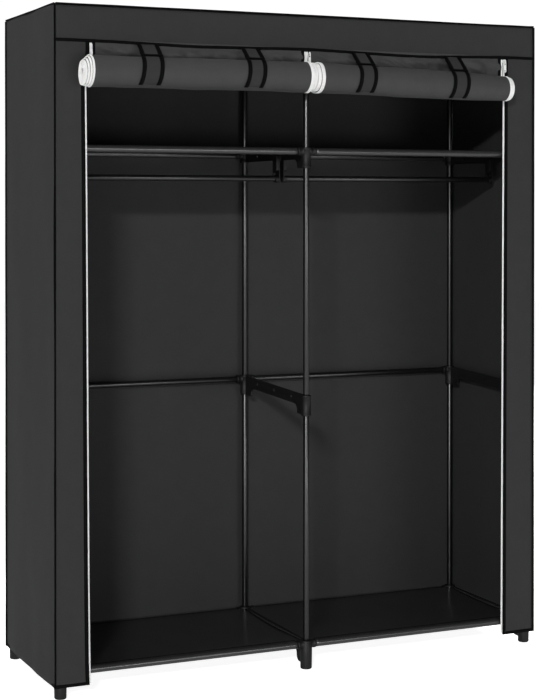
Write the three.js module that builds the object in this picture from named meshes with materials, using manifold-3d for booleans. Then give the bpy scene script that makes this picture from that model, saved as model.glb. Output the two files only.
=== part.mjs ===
// Portable fabric wardrobe: steel tubes in plastic side brackets, under a sewn cloth cover whose two
// doors are rolled up and strapped. Millimetres, +Z up, +Y towards the back, floor at z = 0.
import * as THREE from 'three';
import { mergeVertices } from 'three/addons/utils/BufferGeometryUtils.js';
import Module from 'manifold-3d';

const wasm = await Module();
wasm.setup();

// Overall size
const width = 1400;
const depth = 450;
const floorTubeHeight = 65;
const lowerBayHeight = 655;
const middleBayHeight = 662;
const upperBayHeight = 345.4;

// Fits
const clearance = 0.3;
const overrun = 2;
const weldDistance = 0.0001;
const roundSides = 12;

// Steel tubes
const tubeDiameter = 16;
const tubeWall = 0.6;
const tubeRadius = tubeDiameter / 2;
const boreRadius = tubeRadius + clearance;

// Plastic side brackets
const sleeveWall = 5.2;
const sleeveRadius = boreRadius + sleeveWall;
const sleeveAbove = 11;
const sleeveBelow = 44;
const poleJointDrop = 18;
const poleStop = 2;
const middleBackRise = 16;
const shelfBackSleeveBelow = 22;
const capThickness = 3;
const socketWall = 2.7;
const socketRadius = boreRadius + socketWall;
const socketReach = 26;
const socketFloor = 2;
const webThickness = 6;
const webBelow = 20;
const webTopInset = 1;
const gussetWidth = 38;
const gussetFillet = 18;
const gussetCorner = 6;
const webHoleRadius = 4;
const webHoleSpacing = 115;
const webHoleSides = 8;

// Feet, the lower ends of the floor brackets
const footRadius = 16;
const footTipRadius = 13;
const footEdgeRadius = 14.6;
const footEdgeHeight = 2;
const footTaperHeight = 40;
const footFloor = 14;
const footGussetBottom = 10;
const footGussetCorner = 16;

// Hooks under the shelf brackets, for the hanging rods
const rodDrop = 70;
const rodForward = 40;
const hookOffset = 5.5;
const hookThickness = 11;
const hookFloor = 2;
const hookFrontLip = 3;
const hookBack = 7;
const hookArmHeight = 12;

// Cloth
const clothThickness = 1.2;
const coverGap = 0.4;
const coverBottom = 32;
const headerHeight = 90;
const stripWidth = 88;
const seamLap = 6;
const hemEndGap = 1;

// Doors, rolled up
const sheetDrop = 40;
const rollSlack = 1.8;
const rollCoreRadius = 8;
const rollStepsPerTurn = 16;
const steppedTurns = 3;
const endStep = 10;

// Straps round the rolled doors
const strapWidth = 57;
const strapSpread = 285;
const strapShift = -11;
const strapSteps = 10;
const strapTuckAngle = 6;

// Zip sliders and their pulls
const sliderWidth = 9.4;
const sliderHeight = 14;
const sliderThickness = 5.2;
const sliderTopGap = 3;
const tunnelDepth = 3;
const bridgeThickness = 1.4;
const bridgeWidth = 2;
const bridgeLeg = 1.6;
const bridgeTopInset = 0.8;
const bridgeHeight = 11;
const pullThickness = 1.6;
const pullBar = 2;
const pullLength = 34;
const pullTopWidth = 6;
const pullBottomWidth = 7.6;
const pullSlotGap = 0.7;
const pullHoleRadius = 1.7;
const pullEndInset = 4.5;
const pullCornerSteps = 6;

// Places that follow from the sizes above
const rowDistance = depth / 2 - clothThickness - coverGap - footRadius;
const columnDistance = width / 2 - clothThickness - coverGap - footRadius;
const middleTubeHeight = floorTubeHeight + lowerBayHeight;
const shelfTubeHeight = middleTubeHeight + middleBayHeight;
const topTubeHeight = shelfTubeHeight + upperBayHeight;
const height = topTubeHeight + sleeveAbove + coverGap + clothThickness;
const headerBottom = height - headerHeight;
const coverFront = -depth / 2;
const openingHalfWidth = width / 2 - stripWidth;
const zipGap = sliderWidth + 2 * clearance;

// A rolled door: the cloth hangs from the header and then winds down, forward and inward
const rollPitch = clothThickness + rollSlack;
const rolledLength = headerBottom - coverBottom - sheetDrop;
const rollCentreline = Math.sqrt(rollCoreRadius ** 2 + (rolledLength * rollPitch) / Math.PI);
const rollRadius = rollCentreline + clothThickness / 2;
const rollTurns = (rollCentreline - rollCoreRadius) / rollPitch;
const rollY = coverFront - clearance - rollRadius;
const rollZ = headerBottom - sheetDrop - rollRadius;
const doorWidth = openingHalfWidth - zipGap - zipGap / 2;
const doorX = openingHalfWidth - zipGap - doorWidth / 2;
const strapRadius = rollRadius + clearance;
const strapY = coverFront - clearance - clothThickness - clearance;
const frontOverhang = coverFront - (rollY - strapRadius - clothThickness);

// The three columns and two rows of uprights
const columns = [
  { name: 'left', side: -1, bays: [1] },
  { name: 'centre', side: 0, bays: [-1, 1] },
  { name: 'right', side: 1, bays: [-1] },
];
const rows = [
  { name: 'front', side: -1 },
  { name: 'back', side: 1 },
];
const sides = [
  { name: 'left', side: -1 },
  { name: 'right', side: 1 },
];

// Materials
const materials = {
  steel: new THREE.MeshStandardMaterial({ color: 0x1f1f21, roughness: 0.32, metalness: 0.5 }),
  plastic: new THREE.MeshStandardMaterial({ color: 0x141415, roughness: 0.55, metalness: 0 }),
  cloth: new THREE.MeshStandardMaterial({ color: 0x3a3a3c, roughness: 0.92, metalness: 0 }),
  shelf: new THREE.MeshStandardMaterial({ color: 0x303032, roughness: 0.9, metalness: 0 }),
  strap: new THREE.MeshStandardMaterial({ color: 0x2c2c2e, roughness: 0.9, metalness: 0 }),
  zip: new THREE.MeshStandardMaterial({ color: 0xe8e8e6, roughness: 0.4, metalness: 0 }),
};

// Closed triangle meshes to and from the boolean library
function toSolid(geometry) {
  const bare = geometry.clone();
  bare.deleteAttribute('normal');
  bare.deleteAttribute('uv');
  const merged = mergeVertices(bare, weldDistance);
  return new wasm.Manifold(new wasm.Mesh({
    numProp: 3,
    vertProperties: Float32Array.from(merged.attributes.position.array),
    triVerts: Uint32Array.from(merged.index.array),
  }));
}

function toGeometry(solid) {
  const mesh = solid.getMesh();
  const geometry = new THREE.BufferGeometry();
  geometry.setAttribute('position', new THREE.BufferAttribute(Float32Array.from(mesh.vertProperties), 3));
  geometry.setIndex(new THREE.BufferAttribute(Uint32Array.from(mesh.triVerts), 1));
  geometry.computeVertexNormals();
  return geometry;
}

function joined(solids) {
  return solids.reduce((whole, piece) => whole.add(piece));
}

function cut(solid, cutters) {
  return cutters.reduce((whole, piece) => whole.subtract(piece), solid);
}

// Basic solids
function uprightBar(radius, from, to, x, y, sidesRound = roundSides) {
  const geometry = new THREE.CylinderGeometry(radius, radius, to - from, sidesRound);
  geometry.rotateX(Math.PI / 2);
  geometry.translate(x, y, (from + to) / 2);
  return toSolid(geometry);
}

function crossBar(radius, from, to, y, z, sidesRound = roundSides) {
  const geometry = new THREE.CylinderGeometry(radius, radius, Math.abs(to - from), sidesRound);
  geometry.rotateZ(Math.PI / 2);
  geometry.translate((from + to) / 2, y, z);
  return toSolid(geometry);
}

function block(from, to) {
  const geometry = new THREE.BoxGeometry(
    Math.abs(to[0] - from[0]),
    Math.abs(to[1] - from[1]),
    Math.abs(to[2] - from[2]),
  );
  geometry.translate((from[0] + to[0]) / 2, (from[1] + to[1]) / 2, (from[2] + to[2]) / 2);
  return toSolid(geometry);
}

// Points of an arc about (u, v), angles in radians, both ends included
function arc(u, v, radius, from, to, steps) {
  const points = [];
  for (let i = 0; i <= steps; i += 1) {
    const angle = from + ((to - from) * i) / steps;
    points.push(new THREE.Vector2(u + radius * Math.cos(angle), v + radius * Math.sin(angle)));
  }
  return points;
}

// An outline in the YZ plane, given as (y, z), drawn out along X and centred there
function drawnAlongX(shape, length) {
  const geometry = new THREE.ExtrudeGeometry(shape, { depth: length, bevelEnabled: false });
  geometry.translate(0, 0, -length / 2);
  geometry.rotateX(Math.PI / 2);
  geometry.rotateZ(Math.PI / 2);
  return geometry;
}

// An outline in the XZ plane, given as (x, z), drawn out along Y from 0 towards the back
function drawnAlongY(shape, length) {
  const geometry = new THREE.ExtrudeGeometry(shape, { depth: length, bevelEnabled: false });
  geometry.rotateX(Math.PI / 2);
  geometry.translate(0, length, 0);
  return geometry;
}

// A named mesh set at its place
function node(name, geometry, material, x = 0, y = 0, z = 0) {
  const mesh = new THREE.Mesh(geometry, material);
  mesh.name = name;
  mesh.position.set(x, y, z);
  return mesh;
}

// A tube from 0 up to its length
function tube(length) {
  const outside = uprightBar(tubeRadius, 0, length, 0, 0);
  const inside = uprightBar(tubeRadius - tubeWall, -overrun, length + overrun, 0, 0);
  return toGeometry(outside.subtract(inside));
}

// Uprights: each has a lower pole from the foot to the middle bracket and an upper pole above it
function poles() {
  const group = new THREE.Group();
  const lowerFrom = footFloor + clearance;
  const upperTo = topTubeHeight + sleeveAbove - capThickness - clearance;
  for (const column of columns) {
    for (const row of rows) {
      const x = column.side * columnDistance;
      const y = row.side * rowDistance;
      const place = `${row.name}_${column.name}`;
      const jointZ = middleTubeHeight - poleJointDrop + rise(y, middleBackRise);
      const lowerTo = jointZ - poleStop / 2 - clearance;
      const upperFrom = jointZ + poleStop / 2 + clearance;
      group.add(node(`pole_lower_${place}`, tube(lowerTo - lowerFrom), materials.steel, x, y, lowerFrom));
      group.add(node(`pole_upper_${place}`, tube(upperTo - upperFrom), materials.steel, x, y, upperFrom));
    }
  }
  return group;
}

// Tubes across each bay, from socket floor to socket floor
function crossTubes() {
  const group = new THREE.Group();
  const endDistance = boreRadius + socketFloor + clearance;
  const length = columnDistance - 2 * endDistance;
  const levels = [
    { name: 'floor_tube', z: floorTubeHeight, rows },
    { name: 'middle_tube', z: middleTubeHeight + middleBackRise, rows: rows.slice(1) },
    { name: 'shelf_tube', z: shelfTubeHeight, rows },
    { name: 'top_tube', z: topTubeHeight, rows },
  ];
  for (const level of levels) {
    for (const row of level.rows) {
      for (const bay of sides) {
        const mesh = node(`${level.name}_${row.name}_${bay.name}`, tube(length), materials.steel);
        mesh.rotation.y = Math.PI / 2;
        mesh.position.set(Math.min(bay.side, 0) * columnDistance + endDistance, row.side * rowDistance, level.z);
        group.add(mesh);
      }
    }
  }
  return group;
}

// Hanging rods, from hook floor to hook floor
function hangingRods() {
  const group = new THREE.Group();
  const endDistance = hookOffset + hookFloor + clearance;
  const length = columnDistance - 2 * endDistance;
  for (const bay of sides) {
    const mesh = node(`hanging_rod_${bay.name}`, tube(length), materials.steel);
    mesh.rotation.y = Math.PI / 2;
    mesh.position.set(Math.min(bay.side, 0) * columnDistance + endDistance, -rodForward, shelfTubeHeight - rodDrop);
    group.add(mesh);
  }
  return group;
}

// How far a bracket that rises to the back has risen at y
function rise(y, backRise) {
  return (backRise * (y + rowDistance)) / (2 * rowDistance);
}

// The lower outline of one end of a bracket's flat bar, from its sleeve inwards: a deep gusset whose
// corner is cut off, then a fillet
function gusset(side, bottom, root, corner) {
  if (bottom <= webBelow) return [new THREE.Vector2(side * rowDistance, -bottom)];
  const inner = rowDistance - root - gussetWidth;
  return [
    new THREE.Vector2(side * rowDistance, -bottom),
    new THREE.Vector2(side * (inner + corner), -bottom),
    new THREE.Vector2(side * inner, corner - bottom),
    ...arc(inner - gussetFillet, -webBelow - gussetFillet, gussetFillet, 0, Math.PI / 2, roundSides / 4)
      .map((point) => new THREE.Vector2(side * point.x, point.y)),
  ];
}

// The flat bar between the front and back sleeves
function bracketWeb({ bottom, root, corner = gussetCorner, backBottom = bottom, backRise = 0 }) {
  const top = sleeveAbove - webTopInset;
  const outline = [
    new THREE.Vector2(rowDistance, top),
    new THREE.Vector2(-rowDistance, top),
    ...gusset(-1, bottom, root, corner),
    ...gusset(1, backBottom, root, corner).reverse(),
  ];
  for (const point of outline) point.y += rise(point.x, backRise);
  return toSolid(drawnAlongX(new THREE.Shape(outline), webThickness));
}

function webHoles(places, backRise = 0) {
  return places.map((y) => crossBar(
    webHoleRadius,
    -webThickness,
    webThickness,
    y,
    (sleeveAbove - webTopInset - webBelow) / 2 + rise(y, backRise),
    webHoleSides,
  ));
}

// Sockets for the cross tubes, as an outside and a bore each
function sockets(bays, rowsWithTubes, z = 0) {
  const outsides = [];
  const bores = [];
  for (const row of rowsWithTubes) {
    for (const bay of bays) {
      const y = row.side * rowDistance;
      outsides.push(crossBar(socketRadius, 0, bay * socketReach, y, z));
      bores.push(crossBar(boreRadius, bay * (boreRadius + socketFloor), bay * (socketReach + overrun), y, z));
    }
  }
  return { outsides, bores };
}

// An open hook on an arm under the web, one towards each bay
function rodHooks(bays) {
  const outsides = [];
  const bores = [];
  const near = hookOffset;
  const far = hookOffset + hookThickness;
  const front = -rodForward - boreRadius - hookFrontLip;
  const back = -rodForward + boreRadius + hookBack;
  for (const bay of bays) {
    const low = -rodDrop - boreRadius - hookFrontLip;
    outsides.push(block([0, front, -webBelow], [bay * far, back, hookArmHeight - webBelow]));
    outsides.push(block([bay * near, front, low], [bay * far, back, hookArmHeight - webBelow]));
    const seat = bay * (near + hookFloor);
    const out = bay * (far + overrun);
    bores.push(crossBar(boreRadius, seat, out, -rodForward, -rodDrop));
    const mouth = [out, boreRadius - rodForward, -rodDrop + 2 * boreRadius];
    bores.push(block([seat, front - overrun, -rodDrop], mouth));
  }
  return { outsides, bores };
}

function sleeveOutsides(backRise = 0, backBelow = sleeveBelow) {
  return rows.map((row) => {
    const y = row.side * rowDistance;
    const up = rise(y, backRise);
    const below = row.side > 0 ? backBelow : sleeveBelow;
    return uprightBar(sleeveRadius, up - below, up + sleeveAbove, 0, y);
  });
}

function poleBores(from, to, backRise = 0) {
  return rows.map((row) => {
    const y = row.side * rowDistance;
    const up = rise(y, backRise);
    return uprightBar(boreRadius, up + from, up + to, 0, y);
  });
}

// A foot with its rounded tip and slight taper, up to the top of its sleeve
function footOutsides() {
  const profile = [
    new THREE.Vector2(0, -floorTubeHeight),
    new THREE.Vector2(footTipRadius, -floorTubeHeight),
    new THREE.Vector2(footEdgeRadius, footEdgeHeight - floorTubeHeight),
    new THREE.Vector2(footRadius, footTaperHeight - floorTubeHeight),
    new THREE.Vector2(footRadius, sleeveAbove),
    new THREE.Vector2(0, sleeveAbove),
  ];
  return rows.map((row) => {
    const geometry = new THREE.LatheGeometry(profile, roundSides);
    geometry.rotateX(Math.PI / 2);
    geometry.translate(0, row.side * rowDistance, 0);
    return toSolid(geometry);
  });
}

function footBracket(bays) {
  const ends = sockets(bays, rows);
  const web = bracketWeb({
    bottom: floorTubeHeight - footGussetBottom,
    root: footRadius,
    corner: footGussetCorner,
  });
  const body = joined([...footOutsides(), web, ...ends.outsides]);
  const bores = poleBores(footFloor - floorTubeHeight, sleeveAbove + overrun);
  return cut(body, [...bores, ...ends.bores, ...webHoles([-webHoleSpacing, 0, webHoleSpacing])]);
}

function middleBracket(bays) {
  const ends = sockets(bays, rows.slice(1), middleBackRise);
  const body = joined([
    ...sleeveOutsides(middleBackRise),
    bracketWeb({ bottom: sleeveBelow, root: sleeveRadius, backRise: middleBackRise }),
    ...ends.outsides,
  ]);
  const lowerBores = poleBores(-sleeveBelow - overrun, -poleJointDrop - poleStop / 2, middleBackRise);
  const upperBores = poleBores(-poleJointDrop + poleStop / 2, sleeveAbove + overrun, middleBackRise);
  const holes = webHoles([-webHoleSpacing, 0, webHoleSpacing], middleBackRise);
  return cut(body, [...lowerBores, ...upperBores, ...ends.bores, ...holes]);
}

function shelfBracket(bays) {
  const ends = sockets(bays, rows);
  const hooks = rodHooks(bays);
  const body = joined([
    ...sleeveOutsides(0, shelfBackSleeveBelow),
    bracketWeb({ bottom: sleeveBelow, root: sleeveRadius, backBottom: webBelow }),
    ...ends.outsides,
    ...hooks.outsides,
  ]);
  const bores = poleBores(-sleeveBelow - overrun, sleeveAbove + overrun);
  return cut(body, [...bores, ...ends.bores, ...hooks.bores, ...webHoles([-webHoleSpacing, webHoleSpacing])]);
}

function topBracket(bays) {
  const ends = sockets(bays, rows);
  const body = joined([
    ...sleeveOutsides(),
    bracketWeb({ bottom: sleeveBelow, root: sleeveRadius }),
    ...ends.outsides,
  ]);
  const bores = poleBores(-sleeveBelow - overrun, sleeveAbove - capThickness);
  return cut(body, [...bores, ...ends.bores, ...webHoles([-webHoleSpacing, 0, webHoleSpacing])]);
}

function brackets() {
  const group = new THREE.Group();
  const kinds = [
    { name: 'foot_bracket', z: floorTubeHeight, make: footBracket },
    { name: 'middle_bracket', z: middleTubeHeight, make: middleBracket },
    { name: 'shelf_bracket', z: shelfTubeHeight, make: shelfBracket },
    { name: 'top_bracket', z: topTubeHeight, make: topBracket },
  ];
  for (const kind of kinds) {
    for (const column of columns) {
      const geometry = toGeometry(kind.make(column.bays));
      const x = column.side * columnDistance;
      group.add(node(`${kind.name}_${column.name}`, geometry, materials.plastic, x, 0, kind.z));
    }
  }
  return group;
}

// A shelf cloth for one bay: taut between two hems that go round the front and back tubes, and cut
// back at its corners for the sleeves
function shelfCloth() {
  const inside = tubeRadius + clearance;
  const outside = inside + clothThickness;
  const meet = Math.asin(inside / outside);
  const shape = new THREE.Shape([
    ...arc(-rowDistance, 0, outside, Math.PI / 2, 2 * Math.PI + meet, roundSides),
    ...arc(rowDistance, 0, outside, -Math.PI - meet, Math.PI / 2, roundSides),
  ]);
  for (const row of rows) {
    const ring = arc(row.side * rowDistance, 0, inside, 0, 2 * Math.PI, roundSides);
    shape.holes.push(new THREE.Path(ring.slice(0, roundSides)));
  }
  const hems = toSolid(drawnAlongX(shape, columnDistance - 2 * (socketReach + hemEndGap)));
  const flatX = (columnDistance - webThickness) / 2 - clearance;
  const flatY = rowDistance - footRadius - hemEndGap;
  return toGeometry(hems.add(block([-flatX, -flatY, inside], [flatX, flatY, outside])));
}

function shelves() {
  const group = new THREE.Group();
  const levels = [
    { name: 'floor_cloth', z: floorTubeHeight },
    { name: 'top_shelf_cloth', z: shelfTubeHeight },
  ];
  for (const level of levels) {
    for (const bay of sides) {
      const x = (bay.side * columnDistance) / 2;
      group.add(node(`${level.name}_${bay.name}`, shelfCloth(), materials.shelf, x, 0, level.z));
    }
  }
  return group;
}

// The cover: two side panels, a back that runs on over the top, and a front with a header and two strips
function coverSide() {
  const geometry = new THREE.BoxGeometry(clothThickness, depth, height - coverBottom);
  geometry.translate(0, 0, (height + coverBottom) / 2);
  return geometry;
}

function coverBackAndTop() {
  const shape = new THREE.Shape([
    new THREE.Vector2(-depth / 2, height - clothThickness),
    new THREE.Vector2(depth / 2 - clothThickness, height - clothThickness),
    new THREE.Vector2(depth / 2 - clothThickness, coverBottom),
    new THREE.Vector2(depth / 2, coverBottom),
    new THREE.Vector2(depth / 2, height),
    new THREE.Vector2(-depth / 2, height),
  ]);
  return drawnAlongX(shape, width - 2 * (clothThickness + clearance));
}

function coverFrontPanel() {
  const half = width / 2 - clothThickness - clearance;
  const top = height - clothThickness - clearance;
  const shape = new THREE.Shape([
    new THREE.Vector2(-half, coverBottom),
    new THREE.Vector2(-openingHalfWidth, coverBottom),
    new THREE.Vector2(-openingHalfWidth, headerBottom),
    new THREE.Vector2(openingHalfWidth, headerBottom),
    new THREE.Vector2(openingHalfWidth, coverBottom),
    new THREE.Vector2(half, coverBottom),
    new THREE.Vector2(half, top),
    new THREE.Vector2(-half, top),
  ]);
  return drawnAlongY(shape, clothThickness);
}

function cover() {
  const group = new THREE.Group();
  for (const panel of sides) {
    const x = panel.side * (width / 2 - clothThickness / 2);
    group.add(node(`cover_side_${panel.name}`, coverSide(), materials.cloth, x));
  }
  group.add(node('cover_back_and_top', coverBackAndTop(), materials.cloth));
  group.add(node('cover_front', coverFrontPanel(), materials.cloth, 0, coverFront));
  return group;
}

// A point of the rolled cloth, so many turns in and so far outside the middle of its thickness
function rolledPoint(turns, offset) {
  const radius = rollCentreline - rollPitch * turns + offset;
  const angle = -2 * Math.PI * turns;
  return new THREE.Vector2(rollY + radius * Math.cos(angle), rollZ + radius * Math.sin(angle));
}

// How many turns in a point of the rolled cloth lies, the same on both faces of the cloth
function turnsAt(y, z) {
  const round = (-Math.atan2(z - rollZ, y - rollY) / (2 * Math.PI) + 1) % 1;
  const whole = (rollCentreline - Math.hypot(y - rollY, z - rollZ)) / rollPitch - round;
  return Math.round(whole) + round;
}

// A rolled door, whose first few turns each stand out further past the one outside them at steppedEnd
function rolledDoor(steppedEnd) {
  const steps = Math.ceil(rollTurns * rollStepsPerTurn);
  const outer = [];
  const inner = [];
  for (let i = 0; i <= steps; i += 1) {
    const turns = (rollTurns * i) / steps;
    outer.push(rolledPoint(turns, clothThickness / 2));
    inner.push(rolledPoint(turns, -clothThickness / 2));
  }
  const top = headerBottom + seamLap;
  const shape = new THREE.Shape([
    new THREE.Vector2(outer[0].x, top),
    new THREE.Vector2(inner[0].x, top),
    ...inner,
    ...outer.reverse(),
  ]);
  const geometry = drawnAlongX(shape, doorWidth);
  const position = geometry.attributes.position;
  for (let i = 0; i < position.count; i += 1) {
    const x = position.getX(i);
    const turns = turnsAt(position.getY(i), position.getZ(i));
    const stepped = THREE.MathUtils.clamp(turns, 0, steppedTurns) * endStep;
    if (x * steppedEnd > 0) {
      position.setX(i, x + steppedEnd * stepped);
    }
  }
  return geometry;
}

// A strap sewn under the header: straight to the roll, then round its front and on underneath
function strap() {
  const rootZ = headerBottom + seamLap;
  const toCentre = Math.atan2(rootZ - rollZ, strapY - rollY);
  const distance = Math.hypot(rootZ - rollZ, strapY - rollY);
  const touch = toCentre + Math.acos(strapRadius / distance);
  const end = toCentre + Math.PI - THREE.MathUtils.degToRad(strapTuckAngle);
  const inner = arc(rollY, rollZ, strapRadius, touch, end, strapSteps);
  const outer = arc(rollY, rollZ, strapRadius + clothThickness, touch, end, strapSteps);
  const along = touch;
  const shape = new THREE.Shape([
    new THREE.Vector2(strapY, rootZ),
    new THREE.Vector2(
      strapY + clothThickness * Math.cos(along),
      rootZ + clothThickness * Math.sin(along),
    ),
    ...outer,
    ...inner.reverse(),
  ]);
  return drawnAlongX(shape, strapWidth);
}

function doors() {
  const group = new THREE.Group();
  for (const door of sides) {
    const x = door.side * doorX;
    group.add(node(`door_${door.name}`, rolledDoor(Math.min(door.side, 0)), materials.cloth, x));
    for (const place of [{ name: 'outer', side: door.side }, { name: 'inner', side: -door.side }]) {
      const strapX = x + strapShift + (place.side * strapSpread) / 2;
      group.add(node(`strap_${door.name}_${place.name}`, strap(), materials.strap, strapX));
    }
  }
  return group;
}

// A zip slider about its own middle, with a bridge on its front for the pull
function zipSlider() {
  const front = -sliderThickness / 2;
  const bridgeFront = front - tunnelDepth - bridgeThickness;
  const top = sliderHeight / 2 - bridgeTopInset;
  const low = top - bridgeHeight;
  const half = bridgeWidth / 2;
  return toGeometry(joined([
    block([-sliderWidth / 2, front, -sliderHeight / 2], [sliderWidth / 2, -front, sliderHeight / 2]),
    block([-half, bridgeFront, low], [half, bridgeFront + bridgeThickness, top]),
    block([-half, bridgeFront, top - bridgeLeg], [half, 0, top]),
    block([-half, bridgeFront, low], [half, 0, low + bridgeLeg]),
  ]));
}

// A pull about the bar that hangs in the slider's bridge
function zipPull() {
  const slotHalf = bridgeWidth / 2 + pullSlotGap;
  const slotBottom = -bridgeHeight + bridgeLeg - pullSlotGap;
  const bottom = pullBar / 2 - pullLength;
  const corner = pullBottomWidth / 2;
  const shape = new THREE.Shape([
    new THREE.Vector2(pullTopWidth / 2, pullBar / 2),
    new THREE.Vector2(-pullTopWidth / 2, pullBar / 2),
    ...arc(0, bottom + corner, corner, Math.PI, 2 * Math.PI, pullCornerSteps),
  ]);
  shape.holes.push(new THREE.Path([
    new THREE.Vector2(-slotHalf, -pullBar / 2),
    new THREE.Vector2(-slotHalf, slotBottom),
    new THREE.Vector2(slotHalf, slotBottom),
    new THREE.Vector2(slotHalf, -pullBar / 2),
  ]));
  const ring = arc(0, bottom + pullEndInset, pullHoleRadius, 0, 2 * Math.PI, webHoleSides);
  shape.holes.push(new THREE.Path(ring.slice(0, webHoleSides)));
  const geometry = drawnAlongY(shape, pullThickness);
  geometry.translate(0, -pullThickness / 2, 0);
  return geometry;
}

function zips() {
  const group = new THREE.Group();
  const sliderY = coverFront + clothThickness / 2;
  const sliderZ = headerBottom - sliderTopGap - sliderHeight / 2;
  const pullY = sliderY - sliderThickness / 2 - tunnelDepth / 2;
  const pullZ = sliderZ + sliderHeight / 2 - bridgeTopInset - bridgeLeg - clearance - pullBar / 2;
  for (const column of columns) {
    const x = column.side * (openingHalfWidth - zipGap / 2);
    group.add(node(`zip_slider_${column.name}`, zipSlider(), materials.zip, x, sliderY, sliderZ));
    group.add(node(`zip_pull_${column.name}`, zipPull(), materials.zip, x, pullY, pullZ));
  }
  return group;
}

// The whole wardrobe, set so that the middle of its depth with the rolled doors is at y = 0
const wardrobe = new THREE.Group();
wardrobe.add(poles(), crossTubes(), hangingRods(), brackets(), shelves(), cover(), doors(), zips());
wardrobe.position.y = frontOverhang / 2;

export default wardrobe;
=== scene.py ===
"""Looks of a portable fabric wardrobe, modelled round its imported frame.

Metres, +Z up, the front towards -Y. Two rolled doors hang under the header of a sewn grey cover, which is
stretched over steel tubes in plastic side brackets.
"""

import math
from contextlib import contextmanager

import bmesh
import bpy
import numpy as np
from mathutils import Matrix, Vector, noise


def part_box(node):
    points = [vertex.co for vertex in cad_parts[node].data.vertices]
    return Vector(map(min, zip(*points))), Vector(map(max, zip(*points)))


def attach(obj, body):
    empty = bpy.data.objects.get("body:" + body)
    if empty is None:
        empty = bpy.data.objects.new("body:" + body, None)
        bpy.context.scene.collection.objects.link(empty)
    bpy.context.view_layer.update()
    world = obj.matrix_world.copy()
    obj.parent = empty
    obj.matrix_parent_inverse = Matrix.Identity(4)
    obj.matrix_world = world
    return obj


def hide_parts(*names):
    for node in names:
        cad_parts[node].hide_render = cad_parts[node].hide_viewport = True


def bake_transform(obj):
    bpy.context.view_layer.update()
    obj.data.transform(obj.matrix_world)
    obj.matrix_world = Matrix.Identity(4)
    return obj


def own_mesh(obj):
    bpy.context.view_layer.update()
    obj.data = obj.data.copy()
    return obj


bl_info = {
    "name": "Portable Fabric Wardrobe",
    "version": (1, 0, 0),
    "blender": (4, 5, 0),
    "location": "3D View > Sidebar > Wardrobe",
    "description": "Models a two-bay fabric wardrobe with rolled-up doors",
    "category": "Add Mesh",
}

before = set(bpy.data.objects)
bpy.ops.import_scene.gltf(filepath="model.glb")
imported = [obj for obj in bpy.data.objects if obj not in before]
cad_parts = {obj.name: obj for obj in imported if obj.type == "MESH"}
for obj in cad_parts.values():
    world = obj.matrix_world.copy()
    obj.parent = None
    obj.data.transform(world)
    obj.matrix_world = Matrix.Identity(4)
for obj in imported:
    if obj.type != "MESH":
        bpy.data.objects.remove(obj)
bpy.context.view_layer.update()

ACROSS, BACKWARD, FORWARD, UP = Vector((1, 0, 0)), Vector((0, 1, 0)), Vector((0, -1, 0)), Vector((0, 0, 1))

# Places that the frame gives
COVER_LOW, COVER_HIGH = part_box("cover_side_left")[0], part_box("cover_side_right")[1]
LEFT, RIGHT = COVER_LOW.x, COVER_HIGH.x
FRONT, BACK = COVER_LOW.y, COVER_HIGH.y
HEM, TOP = COVER_LOW.z, COVER_HIGH.z
HEIGHT, WIDTH, DEPTH = TOP - HEM, RIGHT - LEFT, BACK - FRONT

# Sizes of the part that its boxes don't show
CLOTH = 0.0012
FIT = 0.0003
HEM_WRAP = 2.5 * math.pi / 2 * 1.18
TUBE_RADIUS = 0.008
TUBE_WALL = 0.0006
SLEEVE_RADIUS = 0.0135
SLEEVE_ABOVE = 0.011
SLEEVE_BELOW = 0.044
SOCKET_RADIUS = 0.011
SOCKET_REACH = 0.026
WEB_THICKNESS = 0.006
WEB_TOP = 0.010
WEB_BELOW = 0.020
MIDDLE_BACK_RISE = 0.016
SHELF_BACK_SLEEVE_BELOW = 0.022
GUSSET_WIDTH = 0.038
GUSSET_FILLET = 0.018
GUSSET_CORNER = 0.006
FOOT_GUSSET_BOTTOM = 0.010
FOOT_GUSSET_CORNER = 0.016
WEB_HOLE_RADIUS = 0.004
WEB_HOLE_SPACING = 0.115
ROD_DROP = 0.070
ROD_FORWARD = 0.040
HOOK_OFFSET = 0.0055
HOOK_THICKNESS = 0.011
HOOK_FLOOR = 0.002
HOOK_LIP = 0.003
HOOK_BACK = 0.007
HOOK_ARM = 0.012
FOOT_RADIUS = 0.016
FOOT_TIP_RADIUS = 0.0125
FOOT_TAPER_HEIGHT = 0.040
FOOT_FLOOR = 0.014
STRIP_WIDTH = 0.088
SEAM_LAP = 0.006
SHEET_DROP = 0.040
ROLL_PITCH = CLOTH + 0.0018
ROLL_CORE = 0.008
ROLL_ROWS = 28
ROLL_START = 0.3
STEPPED_TURNS = 3
CAD_END_STEP = 0.010
END_SHIFT = {
    ("left", -1): STEPPED_TURNS * CAD_END_STEP - 0.007,
    ("left", 1): -0.006,
    ("right", -1): -0.013,
    ("right", 1): -0.004,
}
FIRST_STEP = 0.017
LATER_STEP = 0.0056
RIGHT_END_BACK = 0.0085
MIDDLE_END_BACK = 0.0105
STRAP_WIDTH = 0.057
STRAP_TUCK = math.radians(6)
STRAP_LEAN = 0.017
BRIDGE_WIDTH = 0.0020
SAME_POINT = 0.00001
TAPE_ROW = 0.014
TAPE_FOLD = 0.001

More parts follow.
